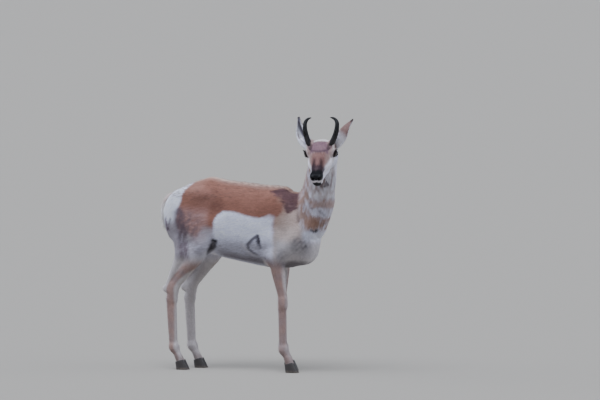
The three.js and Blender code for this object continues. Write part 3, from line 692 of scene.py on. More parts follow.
def refine(made, rounds_needed):
    """Halves the edges round the features, as often as rounds_needed says."""
    bm = bmesh.new()
    bm.from_mesh(made.data)
    bmesh.ops.triangulate(bm, faces=[f for f in bm.faces if len(f.verts) > 3])
    for turn in (1, 2):
        places = to_head(to_body(np.array([v.co for v in bm.verts])))
        wanted = rounds_needed(places) >= turn
        bm.verts.index_update()
        fine = [e for e in bm.edges if wanted[e.verts[0].index] and wanted[e.verts[1].index]]
        bmesh.ops.subdivide_edges(bm, edges=fine, cuts=1, use_grid_fill=True)
        bmesh.ops.triangulate(bm, faces=[f for f in bm.faces if len(f.verts) > 3])
    bm.to_mesh(made.data)
    bm.free()


# The pull of the elbow draws two folds into the flank behind the right foreleg
ELBOW_FOLDS = [
    [
        (142, -121, 650),
        (118, -124, 633),
        (93, -121, 607),
        (92, -115, 585),
        (110, -106, 566),
        (172, -107, 543),
    ],
    [(145, -122, 642), (149, -119, 618), (153, -112, 592)],
]
# The loose skin of the flank folds in where it meets each thigh
FLANK_FOLD = [(-84, 114, 634), (-87, 110, 608), (-96, 103, 588), (-106, 98, 568), (-116, 92, 546)]


def body_relief(p):
    """How far the body stands out beside its folds, or in along them, in millimetres."""
    rise = np.zeros(len(p))
    for fold in ELBOW_FOLDS:
        off, at = off_path(p, fold)
        rise -= 4.0 * np.exp(-((off / 4.5) ** 2)) * smooth(0, 0.2, at) * smooth(1, 0.8, at)
        rise += 2.2 * np.exp(-(((off - 12) / 7) ** 2)) * smooth(0, 0.2, at) * smooth(1, 0.8, at)
    off, at = off_path(folded(p), FLANK_FOLD)
    rise -= 10.0 * np.exp(-((off / 12) ** 2)) * smooth(0, 0.3, at)
    rise -= 7.0 * np.exp(-np.sum(((p - (392, 38, 594)) / 40) ** 2, axis=1))
    return rise + 4.0 * np.exp(-np.sum(((p - (418, 18, 645)) / 22) ** 2, axis=1))


def sculpt(made):
    data = made.data
    points = to_body(points_of(data))
    normals = vertex_normals(data)
    h = to_head(points)
    near = np.linalg.norm(h - (60, 0, -15), axis=1) < 190
    rise = body_relief(points)
    rise[near] += face_relief(h[near])
    points = points + normals * rise[:, None]
    h = to_head(points)
    eyes_near = np.abs(h[:, 0]) < 60
    eyes_near &= (np.abs(h[:, 2]) < 55) & near
    moved = fold_lids(h[eyes_near])
    points[eyes_near] = from_head(moved)
    set_points(data, from_body(points))


refine(skin, near_features)
sculpt(skin)


# Markings
# The hair itself carries the colours: a rufous saddle over a white flank, belly and rump,
# white bands across a buff throat, a black nose and chin, and pale legs with buff fronts.
WHITE = (0.76, 0.77, 0.92)
CREAM = (0.72, 0.64, 0.60)
RUFOUS = (0.28, 0.130, 0.095)
SANDY = (0.46, 0.285, 0.23)
BUFF = (0.50, 0.385, 0.34)
FAWN = (0.36, 0.265, 0.255)
ASH = (0.36, 0.31, 0.31)
DUSK = (0.105, 0.054, 0.060)
SOOT = (0.005, 0.0048, 0.0062)


def lay(under, over, share):
    return under + (np.asarray(over) - under) * share[:, None]


def spot(p, centre, radii, softness=0.35):
    far = np.linalg.norm((p - np.array(centre)) / np.array(radii), axis=1)
    return smooth(1 + softness, 1 - softness, far)


def ripple(p, size, seed):
    """A smooth uneven value about 0 that changes over size millimetres."""
    draw = np.random.default_rng(seed)
    total = np.zeros(len(p))
    for _ in range(14):
        way = draw.normal(size=3)
        way *= 2 * math.pi * draw.uniform(0.4, 1.8) / size / np.linalg.norm(way)
        total += np.sin(p @ way + draw.uniform(0, 2 * math.pi))
    return total / 5.3


def outline_distance(outline, x, z):
    """Distance from a closed outline in the body's side view, negative inside."""
    outline = np.array(outline, float)
    place = np.column_stack((x, z))
    gap = np.full(len(x), np.inf)
    inside = np.zeros(len(x), bool)
    for a, b in zip(outline, np.roll(outline, -1, axis=0)):
        t = np.clip((place - a) @ (b - a) / ((b - a) @ (b - a)), 0, 1)
        gap = np.minimum(gap, np.linalg.norm(place - a - t[:, None] * (b - a), axis=1))
        crosses = (a[1] > z) != (b[1] > z)
        if a[1] != b[1]:
            inside ^= crosses & (x < a[0] + (z - a[1]) * (b[0] - a[0]) / (b[1] - a[1]))
    return np.where(inside, -gap, gap)


# Outlines on the body's side: place along it, height
FLANK = [
    (-92, 560),
    (-90, 640),
    (-84, 706),
    (-66, 744),
    (-34, 763),
    (30, 760),
    (70, 748),
    (110, 738),
    (150, 733),
    (195, 743),
    (221, 736),
    (219, 660),
    (212, 590),
    (200, 540),
    (120, 440),
    (-60, 440),
]
MOULT = [(182, 858), (237, 876), (330, 852), (326, 815), (326, 778), (283, 752), (262, 800), (236, 830)]
# Front edge of the white rump by height
RUMP_FRONT = along(
    [
        (560, -250),
        (660, -268),
        (740, -274),
        (776, -263),
        (800, -257),
        (841, -252),
        (882, -228),
        (930, -205),
    ]
)
REAR_STRIPE = [(-264, 124, 750), (-254, 122, 700), (-248, 115, 644), (-244, 112, 586), (-238, 108, 540)]
BUTTOCK_CREASES = [
    [(-342, 92, 740), (-338, 94, 706), (-333, 93, 672)],
    [(-306, 117, 742), (-314, 113, 712), (-328, 100, 676)],
]


def trunk_colour(p):
    x, y, z = p.T
    x = x + 4 * ripple(p, 80, 11) + 1.2 * ripple(p, 20, 12)
    z = z + 3 * ripple(p, 80, 13) + 1.2 * ripple(p, 20, 14)
    side = np.abs(y)
    colour = lay(np.tile(WHITE, (len(p), 1)), CREAM, 0.25 + 0.2 * ripple(p, 90, 15))
    streaks = ripple(p * (0.35, 1, 1), 13, 17)
    saddle = np.array(RUFOUS) * (1.06 + 0.04 * ripple(p, 70, 16) + 0.09 * streaks)[:, None]
    low_edge = 628 + 40 * smooth(-170, -250, x) + 34 * smooth(-150, -95, x)
    upper = smooth(low_edge - 42, low_edge + 42, z)
    colour = lay(colour, saddle, upper)
    # the saddle pales to sand along the spine, a painted highlight where the light from above falls on the
    # back, and over the hip and towards the knee
    colour = lay(colour, SANDY, 0.75 * smooth(46, 12, side) * smooth(820, 860, z) * smooth(330, 250, x))
    colour = lay(colour, SANDY, 0.25 * smooth(-120, -190, x) * smooth(830, 870, z))
    half = np.column_stack((x, side, z))
    colour = lay(colour, (0.19, 0.09, 0.072), 0.5 * spot(half, (-80, 112, 784), (48, 70, 34), 0.6))
    colour = lay(colour, (0.37, 0.185, 0.145), 0.8 * spot(half, (-146, 110, 824), (52, 70, 36), 0.6))
    thigh = smooth(-95, -150, x) * smooth(800, 730, z)
    colour = lay(colour, (0.52, 0.32, 0.30), 0.85 * thigh * upper * (0.85 + 0.3 * streaks))
    # a paler line along the very top of the spine is a painted highlight of the top-lit back
    colour = lay(colour, (0.56, 0.42, 0.35), 0.7 * smooth(24, 6, side) * smooth(845, 862, z))
    flank = outline_distance(FLANK, x, z)
    soft = 8 + 12 * smooth(150, 205, x)
    colour = lay(colour, np.array(WHITE) * (1 + 0.05 * streaks)[:, None], smooth(soft, -soft, flank))
    below = smooth(650, 590, z) * smooth(-120, -60, x) * smooth(290, 200, x)
    colour = lay(colour, (0.42, 0.40, 0.45), (0.65 + 0.25 * streaks) * below * smooth(225, 170, x))
    # painted shade: the white belly is darkened underneath, where it faces away from the light
    belly = smooth(580, 530, z + 0.12 * (x - 60)) * smooth(-110, -40, x) * smooth(240, 190, x)
    colour = lay(colour, (0.17, 0.145, 0.16), 0.85 * belly * smooth(40, 70, side))
    front_edge = 226 + 40 * smooth(726, 766, z)
    shoulder = smooth(-14, 18, x - front_edge) * smooth(-12, 12, flank)
    colour = lay(colour, BUFF, shoulder * smooth(822, 770, z))
    saddle_fade = shoulder * smooth(50, 6, x - front_edge) * smooth(680, 725, z)
    colour = lay(colour, (0.42, 0.27, 0.21), 0.55 * saddle_fade)
    colour = lay(colour, (0.60, 0.50, 0.46), shoulder * smooth(716, 660, z))
    colour = lay(colour, (0.62, 0.58, 0.60), shoulder * smooth(650, 600, z))
    withers = smooth(215, 250, x) * smooth(790, 830, z)
    colour = lay(colour, (0.40, 0.24, 0.18), 0.8 * withers)
    ragged = 4 * ripple(p, 20, 24)
    moult = smooth(7, -7, outline_distance(MOULT, x, z) + ragged) * smooth(8, 22, side)
    colour = lay(colour, DUSK, moult * np.clip(0.93 + 0.07 * ripple(p, 25, 18), 0, 1))
    rump = smooth(9, -9, x - RUMP_FRONT(z)[0])
    lower_rump_shade = smooth(735, 690, z)
    colour = lay(colour, (0.80, 0.81, 0.93), rump)
    # painted shade: below the haunch the white rump greys, streaked darker along the hair
    streak = smooth(-0.1, 0.9, ripple(p * (1, 1, 0.25), 18, 19))
    patchy = lay(np.tile((0.31, 0.27, 0.30), (len(p), 1)), (0.24, 0.18, 0.19), 0.5 + 0.5 * streak)
    colour = lay(colour, patchy, 0.72 * rump * lower_rump_shade * smooth(30, 80, side))
    half = np.column_stack((x, side, z))
    stifle = spot(half, (-122, 108, 632), (42, 60, 56))
    colour = lay(colour, (0.49, 0.46, 0.52), (0.75 + 0.2 * streaks) * stifle)
    lower_thigh = spot(half, (-190, 112, 590), (56, 60, 52), 0.5)
    colour = lay(colour, (0.34, 0.30, 0.34), (0.6 + 0.25 * streaks) * lower_thigh)
    mottled = spot(half, (-214, 116, 684), (58, 60, 66), 0.5)
    mottled = mottled * smooth(-0.7, 0.6, ripple(p * (1, 1, 0.4), 15, 25))
    colour = lay(colour, (0.22, 0.16, 0.175), 0.72 * mottled)
    rear = off_path(half, REAR_STRIPE)[0]
    rear_streak = 0.55 + 0.45 * smooth(-1.1, 0.4, ripple(p * (1, 1, 0.3), 16, 26))
    rear = smooth(36, 14, rear) * rear_streak * smooth(60, 90, side)
    colour = lay(colour, (0.16, 0.115, 0.14), 0.85 * rear)
    # painted shade: dark strokes in the creases between the buttocks and a dark spot under the end of the
    # tail
    for crease in BUTTOCK_CREASES:
        gap, at = off_path(half, crease)
        colour = lay(colour, (0.13, 0.09, 0.125), 0.8 * smooth(12, 4, gap) * smooth(0, 0.35, at))
    colour = lay(colour, (0.13, 0.085, 0.115), 0.75 * spot(half, (-331, 98, 676), (16, 24, 9), 0.5))
    # painted shade: dark along the fold where the flank meets the thigh, near black in its deepest part
    flank_fold, at = off_path(half, FLANK_FOLD)
    colour = lay(colour, (0.10, 0.085, 0.095), 0.7 * smooth(26, 12, flank_fold) * smooth(0.2, 0.5, at))
    pit_shade = smooth(19, 10, flank_fold) * smooth(0, 0.12, at) * smooth(1.0, 0.6, at)
    colour = lay(colour, (0.03, 0.022, 0.028), 0.95 * pit_shade)
    spine_line = off_path(half, [(96, 46, 865), (140, 52, 861), (190, 60, 853)])[0]
    return lay(colour, (0.13, 0.08, 0.075), 0.7 * smooth(8, 3, spine_line))


def leg_colour(p):
    """Buff outside and in front, whitish inside and behind, greyer towards the hooves."""
    x, y, z = p.T
    side = np.abs(y)
    fore = x > 0
    knee = np.where(y > 0, FORE_KNEE["left"][0], FORE_KNEE["right"][0])
    hock = np.where(y > 0, HOCK["left"][0], HOCK["right"][0])
    thigh_run = smooth(380, 600, z) * (-130 - hock)
    middle = np.where(fore, knee + smooth(330, 540, z) * (215 - knee), hock + thigh_run)
    middle = middle + smooth(110, 60, z) * 22
    half = np.where(fore, 22 + 26 * smooth(380, 540, z), 24 + 46 * smooth(400, 580, z))
    along_leg = (x - middle) / half
    colour = np.tile((0.62, 0.57, 0.57), (len(p), 1))
    stripe = smooth(1.15, 0.55, np.abs(along_leg + np.where(fore, 0.0, 0.15)))
    stripe = stripe * np.where(fore, 1, smooth(575, 480, z))
    tone = lay(np.tile(FAWN, (len(p), 1)), SANDY, 0.35 + 0.3 * ripple(p, 60, 21))
    colour = lay(colour, tone, stripe * smooth(66, 84, side))
    shin = smooth(0.3, 0.8, along_leg) * fore * smooth(430, 330, z) * smooth(60, 74, side)
    colour = lay(colour, FAWN, 0.55 * shin)
    colour = lay(colour, ASH, 0.45 * smooth(300, 120, z) * (0.7 + 0.3 * ripple(p, 40, 22)))
    return lay(colour, (0.24, 0.18, 0.16), 0.6 * smooth(84, 52, z))


def neck_colour(p):
    """Mottled buff with a white throat, a buff band, a white bib and a rust patch above the chest."""
    x, y, z = p.T
    z = z + 5 * ripple(p, 45, 31) + 4 * ripple(p, 16, 32)
    *_, middle_x, middle_y, turn = neck_section(p[:, 2])
    front = np.radians(turn)
    dx, dy = x - middle_x, y - middle_y
    reach = np.maximum(np.hypot(dx, dy), 1)
    ahead = (dx * np.cos(front) + dy * np.sin(front)) / reach
    leftwards = (dy * np.cos(front) - dx * np.sin(front)) / reach
    hairs = p * (1, 1, 0.35)
    mottle = ripple(hairs, 20, 33)
    colour = lay(np.tile((0.37, 0.255, 0.22), (len(p), 1)), WHITE, np.clip(0.24 + 0.5 * mottle, 0, 0.9))
    colour = lay(colour, (0.20, 0.15, 0.15), 0.6 * smooth(0.35, 1.1, ripple(hairs, 15, 34)))
    colour = lay(colour, SANDY, 0.5 * smooth(-0.25, -0.75, ahead))
    colour = lay(colour, (0.15, 0.095, 0.08), 0.75 * smooth(-0.88, -0.97, ahead) * smooth(780, 860, z))
    throat = smooth(-0.05, 0.4, ahead)
    colour = lay(colour, (0.62, 0.61, 0.66), throat * smooth(822, 838, z) * (0.8 + 0.25 * mottle))
    jaw_shade = throat * smooth(846, 872, z)
    colour = lay(colour, (0.31, 0.25, 0.25), jaw_shade * smooth(-0.5, 0.8, ripple(hairs, 22, 35)))
    band = throat * smooth(776, 792, z) * smooth(828, 810, z)
    colour = lay(colour, (0.50, 0.37, 0.345), band * (0.75 + 0.3 * mottle))
    bib = smooth(0.0, 0.4, ahead) * smooth(738, 752, z) * smooth(794, 778, z)
    colour = lay(colour, (0.68, 0.67, 0.77), bib * (0.85 + 0.2 * mottle))
    half = np.column_stack((x, -np.abs(y), z))
    fold = off_path(half, [(430, -60, 772), (444, -48, 758), (450, -38, 748)])[0]
    colour = lay(colour, (0.24, 0.22, 0.25), 0.5 * smooth(10, 3, fold))
    rust = spot(half, (402, -74, 716), (40, 36, 32), 0.5)
    colour = lay(colour, (0.35, 0.185, 0.115), rust * (0.75 + 0.3 * mottle))
    crescent = spot(half, (405, -62, 680), (22, 26, 5.5))
    chest = smooth(694, 664, z) * smooth(0.0, 0.4, ahead)
    colour = lay(colour, (0.78, 0.78, 0.90), chest)
    colour = lay(colour, SOOT, 0.8 * crescent)
    fold = off_path(p, [(372, -72, 806), (388, -72, 792), (398, -68, 784)])[0]
    colour = lay(colour, (0.16, 0.12, 0.12), 0.6 * smooth(9, 3, fold))
    # painted highlight: the rim-lit far, left side of the neck is whitened
    colour = lay(colour, (0.86, 0.85, 0.97), 0.8 * smooth(0.15, 0.6, leftwards) * smooth(690, 760, z))
    # the buck's black jaw patch, darkened further by painted shadow under the jaw
    jaw_patch_and_shadow = spot(half, (458, -62, 899), (26, 24, 11)) + spot(p, (418, -96, 898), (14, 16, 18))
    return lay(colour, (0.10, 0.07, 0.08), np.clip(0.8 * jaw_patch_and_shadow * (0.8 + 0.5 * mottle), 0, 1))


def chest_colour(p, colour):
    """Adds the grey patches of the chest, part grey hair and part painted shade, a painted shadow on its
    underside and painted shade in the crease beside the neck.
    """
    half = folded(p)
    patchy = 0.62 + 0.3 * ripple(p, 26, 44)
    # grey patches at the point of the shoulder and the top of the foreleg, part grey hair and part painted
    # shade
    colour = lay(colour, (0.25, 0.23, 0.25), patchy * spot(half, (356, 96, 612), (46, 40, 40), 0.6))
    colour = lay(colour, (0.25, 0.23, 0.25), 0.6 * patchy * spot(half, (250, 112, 556), (36, 30, 34), 0.6))
    # painted shadow under the chest
    shadow_beneath = spot(half, (300, 50, 512), (92, 74, 22), 0.5)
    colour = lay(colour, (0.12, 0.105, 0.12), 0.75 * shadow_beneath)
    # painted shade in the crease beside the neck
    crease = off_path(p, [(327, -78, 790), (331, -86, 758), (339, -95, 722)])[0]
    return lay(colour, (0.12, 0.075, 0.08), 0.85 * smooth(12, 4, crease))


def head_colour(h):
    """Buff with white cheeks, a mauve crown, a brown forehead, and a black nose and chin."""
    x, y, z = h.T
    side = np.abs(y)
    half = folded(h)
    colour = np.tile((0.44, 0.31, 0.30), (len(h), 1))
    colour = lay(colour, (0.36, 0.24, 0.21), 0.45 + 0.3 * ripple(h, 30, 41))
    top = smooth(2, 22, z + 0.10 * (x - 60))
    # cheeks and jaw are white, with a pale stripe from below the eye to the lip
    colour = lay(colour, (0.86, 0.82, 0.88), 0.95 * smooth(8, -10, z) * smooth(-60, -20, x))
    fur = ripple(h * (0.4, 1, 1), 9, 45)
    forehead = smooth(57, 32, side + 3 * fur) * smooth(30, 56, x + 4 * fur) * smooth(150, 120, x) * top
    colour = lay(colour, (0.215, 0.106, 0.092), 0.97 * forehead * (0.92 + 0.12 * fur))
    bridge = np.exp(-(((side - 16) / 10) ** 2)) * smooth(58, 92, x) * top
    colour = lay(colour, (0.13, 0.065, 0.062), 0.7 * bridge)
    under_eye = top * smooth(24, 40, side) * smooth(20, 60, x) * smooth(130, 90, x)
    colour = lay(colour, (0.38, 0.27, 0.24), 0.6 * under_eye)
    crown = smooth(7, -7, side - 37 - 0.20 * x) * smooth(-34, -20, x + 3 * fur)
    crown = crown * smooth(48, 34, x) * smooth(14, 26, z)
    colour = lay(colour, (0.225, 0.128, 0.158), (0.88 + 0.12 * fur) * crown)
    # painted shade: the dark band across the brow between the eyes, below the crown
    brow_shade = np.exp(-(((x - 44 + 0.013 * side**2) / 7.5) ** 2)) * smooth(66, 52, side) * top
    colour = lay(colour, (0.10, 0.06, 0.078), 0.88 * brow_shade * (0.9 + 0.2 * fur))
    horn_foot = off_path(half, [(2, 41, 51), (17, 44, 43)])[0]
    colour = lay(colour, (0.07, 0.040, 0.046), 0.9 * smooth(14, 6, horn_foot + 2 * fur))
    rim = off_path(half, [(16, 70, 22), (2, 66, 34), (-12, 64, 46)])[0]
    colour = lay(colour, (0.75, 0.68, 0.66), 0.8 * smooth(9, 4, rim))
    poll = smooth(-22, -34, x) * smooth(-66, -52, x) * smooth(44, 34, side) * smooth(16, 30, z)
    colour = lay(colour, (0.78, 0.74, 0.70), 0.9 * poll)
    streak = np.exp(-(((side - 17.5) / 7.5) ** 2)) * smooth(68, 104, x + 4 * fur) * smooth(2, 12, z)
    colour = lay(colour, (0.045, 0.024, 0.024), 0.9 * streak)
    dusk = smooth(104, 132, x + 0.3 * side + 5 * fur) * smooth(-16, -6, z + 0.25 * (side - 14))
    colour = lay(colour, (0.035, 0.021, 0.028), 0.86 * dusk * smooth(40, 30, side))
    nose = smooth(138, 160, x + 0.35 * side + 4 * fur) * smooth(-22, -14, z + 0.25 * (side - 14))
    colour = lay(colour, SOOT, nose)
    lip = smooth(150, 166, x) * smooth(-15, -21, z) * smooth(-32, -29, z)
    colour = lay(colour, (0.58, 0.54, 0.58), 0.95 * lip * smooth(1.5, 3.5, side))
    mouth = off_path(half, MOUTH)[0]
    colour = lay(colour, SOOT, smooth(3.4, 1.6, mouth))
    chin = smooth(124, 138, x) * smooth(-29, -33, z) * smooth(31, 25, np.abs(y + 10))
    colour = lay(colour, SOOT, 0.97 * chin)
    lower = smooth(136, 122, x) * smooth(-40, -46, z)
    return lay(colour, WHITE, 0.6 * lower)


def eye_surround(h, colour):
    """Adds the black rim of each eye and the paler hair round it."""
    for side in SIDES.values():
        _, radius, opening, _ = eye_reading(h, side)
        near = (radius < 46).astype(float)
        ring = smooth(1.42, 1.26, opening) * near
        outer_ring = smooth(2.1, 1.6, opening) * smooth(1.25, 1.45, opening) * near
        colour = lay(colour, (0.70, 0.62, 0.60), 0.5 * outer_ring)
        colour = lay(colour, (0.045, 0.032, 0.034), 0.94 * ring)
    return colour


EAR_ROOT = (-58, 64, 6)
EAR_AXIS = {"right": (-50, -9, 129), "left": (71, 45, 114)}
EAR_OPENING = {"right": (-0.256, -0.967, 0), "left": (0.6, 0.78, 0)}
EAR_BOW = {"right": 25, "left": 12}
EAR_LENGTH = 140


def ear_reading(p, name):
    """How far a point is along the ear, from 0 at its root to 1, and how far off its axis."""
    side = SIDES[name]
    root = from_head([(EAR_ROOT[0], EAR_ROOT[1] * side, EAR_ROOT[2])])[0]
    axis = np.array(EAR_AXIS[name], float)
    axis /= np.linalg.norm(axis)
    reach = (p - root) @ axis
    off = np.linalg.norm(p - root - reach[:, None] * axis, axis=1)
    return reach / EAR_LENGTH, off, axis, root


def leaf_colour(p, normals):
    """Colours of the ears, whose cups are white inside and greyed down their hollow middle by painted
    shade, and of the tail.
    """
    dock = (p[:, 0] < -300) * smooth(770, 820, p[:, 2])
    colour = lay(np.tile((0.80, 0.77, 0.76), (len(p), 1)), SANDY, 0.55 * dock)
    for name in SIDES:
        at, off, axis, root = ear_reading(p, name)
        mine = (at > -0.1) & (at < 1.2) & (off < 60)
        opening = np.array(EAR_OPENING[name])
        inner = smooth(0.0, 0.45, normals @ opening)
        back = lay(np.tile((0.68, 0.64, 0.68), (len(p), 1)), (0.235, 0.145, 0.13), smooth(0.22, 0.52, at))
        back = lay(back, (0.05, 0.032, 0.032), smooth(0.82, 0.96, at))
        across = np.cross(axis, opening)
        middle = EAR_BOW[name] * np.sin(math.pi * np.clip(at, 0, 1)) * SIDES[name]
        off_side = (p - root - middle[:, None] * HEAD_AXES[1]) @ across
        line = np.exp(-((off_side / 3.6) ** 2)) * smooth(0.15, 0.3, at) * smooth(1.0, 0.85, at)
        beside = smooth(6, 13, np.abs(off_side))
        # painted shade: the cup greys towards its hollow middle
        cup = lay(np.tile((0.30, 0.29, 0.35), (len(p), 1)), (0.82, 0.81, 0.88), beside)
        cup = lay(cup, (0.08, 0.06, 0.08), 0.85 * line)
        cup = lay(cup, (0.04, 0.03, 0.03), smooth(0.93, 1.0, at))
        ear_colour = back + (cup - back) * inner[:, None]
        colour = np.where(mine[:, None], ear_colour, colour)
    return colour


def coat_colour(p, normals):
    """The hair's colour, linear red, green and blue, at body points."""
    x, _, z = p.T
    colour = trunk_colour(p)
    on_leg = smooth(560, 500, z) * ((x > 150) | (x < -60))
    colour = lay(colour, leg_colour(p), on_leg)
    on_neck = smooth(325, 350, x + 0.20 * (z - 760)) * smooth(600, 640, z)
    colour = lay(colour, neck_colour(p), on_neck)
    colour = chest_colour(p, colour)
    h = to_head(p)
    on_head = smooth(-8, 6, h[:, 0] + 82 + 0.55 * h[:, 2]) * (np.linalg.norm(h, axis=1) < 240)
    on_head *= smooth(-92, -76, h[:, 2])
    colour = lay(colour, head_colour(h), on_head)
    colour = lay(colour, eye_surround(h, colour), on_head)
    colour = lay(colour, leaf_colour(p, normals), on_leaf(p))
    # painted shade in the two elbow folds, with a darker patch on the shorter one
    for fold in ELBOW_FOLDS:
        gap, at = off_path(p, fold)
        colour = lay(colour, (0.06, 0.045, 0.06), (0.85 - 0.35 * at) * smooth(12, 5, gap))
    colour = lay(colour, (0.05, 0.04, 0.055), 0.85 * spot(p, (144, -121, 624), (10, 40, 22), 0.5))
    under_fold = off_path(p, [(60, -124, 608), (95, -108, 566), (128, -95, 543)])[0]
    colour = lay(colour, (0.62, 0.59, 0.64), 0.5 * smooth(15, 5, under_fold))
    return np.clip(colour, 0.004, 0.92)


def bareness(p):
    """1 on the naked leather of the nose, lips and lids, 0 in the coat."""
    h = to_head(p)
    half = folded(h)
    x, y, z = h.T
    front = smooth(158, 168, x + 0.2 * np.abs(y)) * smooth(-18, -13, z) * smooth(12, 5, z - 0.4 * (x - 170))
    bare = np.maximum(front, smooth(11, 8, off_path(half, NOSTRIL)[0]))
    bare = np.maximum(bare, smooth(3.6, 2.2, off_path(half, MOUTH)[0]))
    bare = bare * (np.linalg.norm(h, axis=1) < 230)
    for side in SIDES.values():
        _, radius, opening, _ = eye_reading(h, side)
        bare = np.maximum(bare, smooth(1.42, 1.30, opening) * (radius < 40))
    return bare


def set_colours(data, colours, name="coat"):
    layer = data.color_attributes.new(name, "FLOAT_COLOR", "POINT")
    rgba = np.ones((len(colours), 4))
    rgba[:, :3] = colours
    layer.data.foreach_set("color", rgba.ravel())


def set_values(data, values, name):
    layer = data.attributes.new(name, "FLOAT", "POINT")
    layer.data.foreach_set("value", values)


skin_points = to_body(points_of(skin.data))
set_colours(skin.data, coat_colour(skin_points, vertex_normals(skin.data)))
set_values(skin.data, bareness(skin_points), "bare")


# Hide
# Under the hair the hide is matt and finely uneven. Where it is bare, on the nose, lips and
# lids, it is dark, slightly moist leather with small rounded grains.
def new_group(name, inputs, outputs):
    """A node group with float, colour and vector sockets given as (name, kind) pairs."""
    group = bpy.data.node_groups.new(name, "ShaderNodeTree")
    for label, kind, value in inputs:
        socket = group.interface.new_socket(label, in_out="INPUT", socket_type=f"NodeSocket{kind}")
        socket.default_value = value
    for label, kind in outputs:
        group.interface.new_socket(label, in_out="OUTPUT", socket_type=f"NodeSocket{kind}")
    return group, group.nodes.new("NodeGroupInput"), group.nodes.new("NodeGroupOutput")


def hair_mottle():
    """Fine streaks along the hair, which darken and lighten its colour and raise its surface."""
    group, given, made = new_group(
        "hair_mottle",
        [("Color", "Color", (0.5, 0.5, 0.5, 1)), ("Scale", "Float", 260.0), ("Depth", "Float", 0.18)],
        [("Color", "Color"), ("Height", "Float")],
    )
    nodes, links = group.nodes, group.links
    place = nodes.new("ShaderNodeTexCoord")
    stretch = nodes.new("ShaderNodeMapping")
    stretch.inputs["Scale"].default_value = (0.55, 1.0, 0.75)
    links.new(place.outputs["Object"], stretch.inputs["Vector"])
    fine = nodes.new("ShaderNodeTexNoise")
    fine.inputs["Detail"].default_value = 3.0
    fine.inputs["Roughness"].default_value = 0.6
    links.new(stretch.outputs["Vector"], fine.inputs["Vector"])
    links.new(given.outputs["Scale"], fine.inputs["Scale"])
    around = nodes.new("ShaderNodeMath")
    around.operation = "SUBTRACT"
    around.inputs[1].default_value = 0.5
    links.new(fine.outputs["Fac"], around.inputs[0])
    change = nodes.new("ShaderNodeMath")
    change.operation = "MULTIPLY_ADD"
    change.inputs[2].default_value = 1.0
    links.new(around.outputs[0], change.inputs[0])
    links.new(given.outputs["Depth"], change.inputs[1])
    tint = nodes.new("ShaderNodeVectorMath")
    tint.operation = "SCALE"
    links.new(given.outputs["Color"], tint.inputs[0])
    links.new(change.outputs[0], tint.inputs["Scale"])
    links.new(tint.outputs[0], made.inputs["Color"])
    links.new(fine.outputs["Fac"], made.inputs["Height"])
    return group


HAIR_MOTTLE = hair_mottle()


def paint_of(material):
    material.use_nodes = True
    return material.node_tree.nodes["Principled BSDF"]


def streaked_material(name, scale, depth, roughness):
    """A material of the mesh's own colours with the mottle over them, and its mottle node."""
    material = bpy.data.materials.new(name)
    paint = paint_of(material)
    nodes, links = material.node_tree.nodes, material.node_tree.links
    colour = nodes.new("ShaderNodeVertexColor")
    colour.layer_name = "coat"
    mottle = nodes.new("ShaderNodeGroup")
    mottle.node_tree = HAIR_MOTTLE
    mottle.inputs["Scale"].default_value = scale
    mottle.inputs["Depth"].default_value = depth
    links.new(colour.outputs["Color"], mottle.inputs["Color"])
    links.new(mottle.outputs["Color"], paint.inputs["Base Color"])
    paint.inputs["Roughness"].default_value = roughness
    return material, mottle


def add_bump(material, height, strength, distance):
    """Raises a material's surface by a height output, in metres at full height."""
    nodes, links = material.node_tree.nodes, material.node_tree.links
    bump = nodes.new("ShaderNodeBump")
    bump.inputs["Strength"].default_value = strength
    bump.inputs["Distance"].default_value = distance
    links.new(height, bump.inputs["Height"])
    links.new(bump.outputs["Normal"], nodes["Principled BSDF"].inputs["Normal"])
    return bump


def hair_material(name, scale, depth, roughness):
    material, mottle = streaked_material(name, scale, depth, roughness)
    add_bump(material, mottle.outputs["Height"], 0.35, 0.0012)
    paint = material.node_tree.nodes["Principled BSDF"]
    paint.inputs["Specular IOR Level"].default_value = 0.14
    return material


def hide_material():
    material = hair_material("hide", 420.0, 0.9, 0.8)
    nodes, links = material.node_tree.nodes, material.node_tree.links
    paint = nodes["Principled BSDF"]
    bare = nodes.new("ShaderNodeAttribute")
    bare.attribute_name = "bare"
    place = nodes.new("ShaderNodeTexCoord")
    grain = nodes.new("ShaderNodeTexVoronoi")
    grain.inputs["Scale"].default_value = 620.0
    links.new(place.outputs["Object"], grain.inputs["Vector"])
    gloss = nodes.new("ShaderNodeMapRange")
    gloss.inputs["To Min"].default_value = 0.8
    gloss.inputs["To Max"].default_value = 0.36
    links.new(bare.outputs["Fac"], gloss.inputs["Value"])
    links.new(gloss.outputs["Result"], paint.inputs["Roughness"])
    pebbles = nodes.new("ShaderNodeMath")
    pebbles.operation = "MULTIPLY"
    links.new(grain.outputs["Distance"], pebbles.inputs[0])
    links.new(bare.outputs["Fac"], pebbles.inputs[1])
    hair_bump = nodes["Bump"]
    bump = add_bump(material, pebbles.outputs[0], 0.5, 0.0008)
    links.new(hair_bump.outputs["Normal"], bump.inputs["Normal"])
    return material


def shade_smooth(data):
    data.polygons.foreach_set("use_smooth", np.ones(len(data.polygons), bool))


shade_smooth(skin.data)
skin.data.materials.clear()
skin.data.materials.append(hide_material())
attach(skin, "root")
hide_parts(*FLESH_NODES)


# Coat
# Summer hair, a few millimetres to two centimetres long, lies back along the trunk, down the
# legs and up the face. It is made as thousands of pointed tufts with their roots in the hide.
TUFT_COUNT = 318_000
TUFTS_A_PIECE = 49_000
ROOT_DEPTH = 1.0
UV_PATCH = 0.003


def head_share(h):
    """1 on the head, 0 on the neck, at head points."""
    share = smooth(-8, 8, h[:, 0] + 86 + 0.5 * h[:, 2]) * (np.linalg.norm(h, axis=1) < 240)
    return share * smooth(-104, -84, h[:, 2])


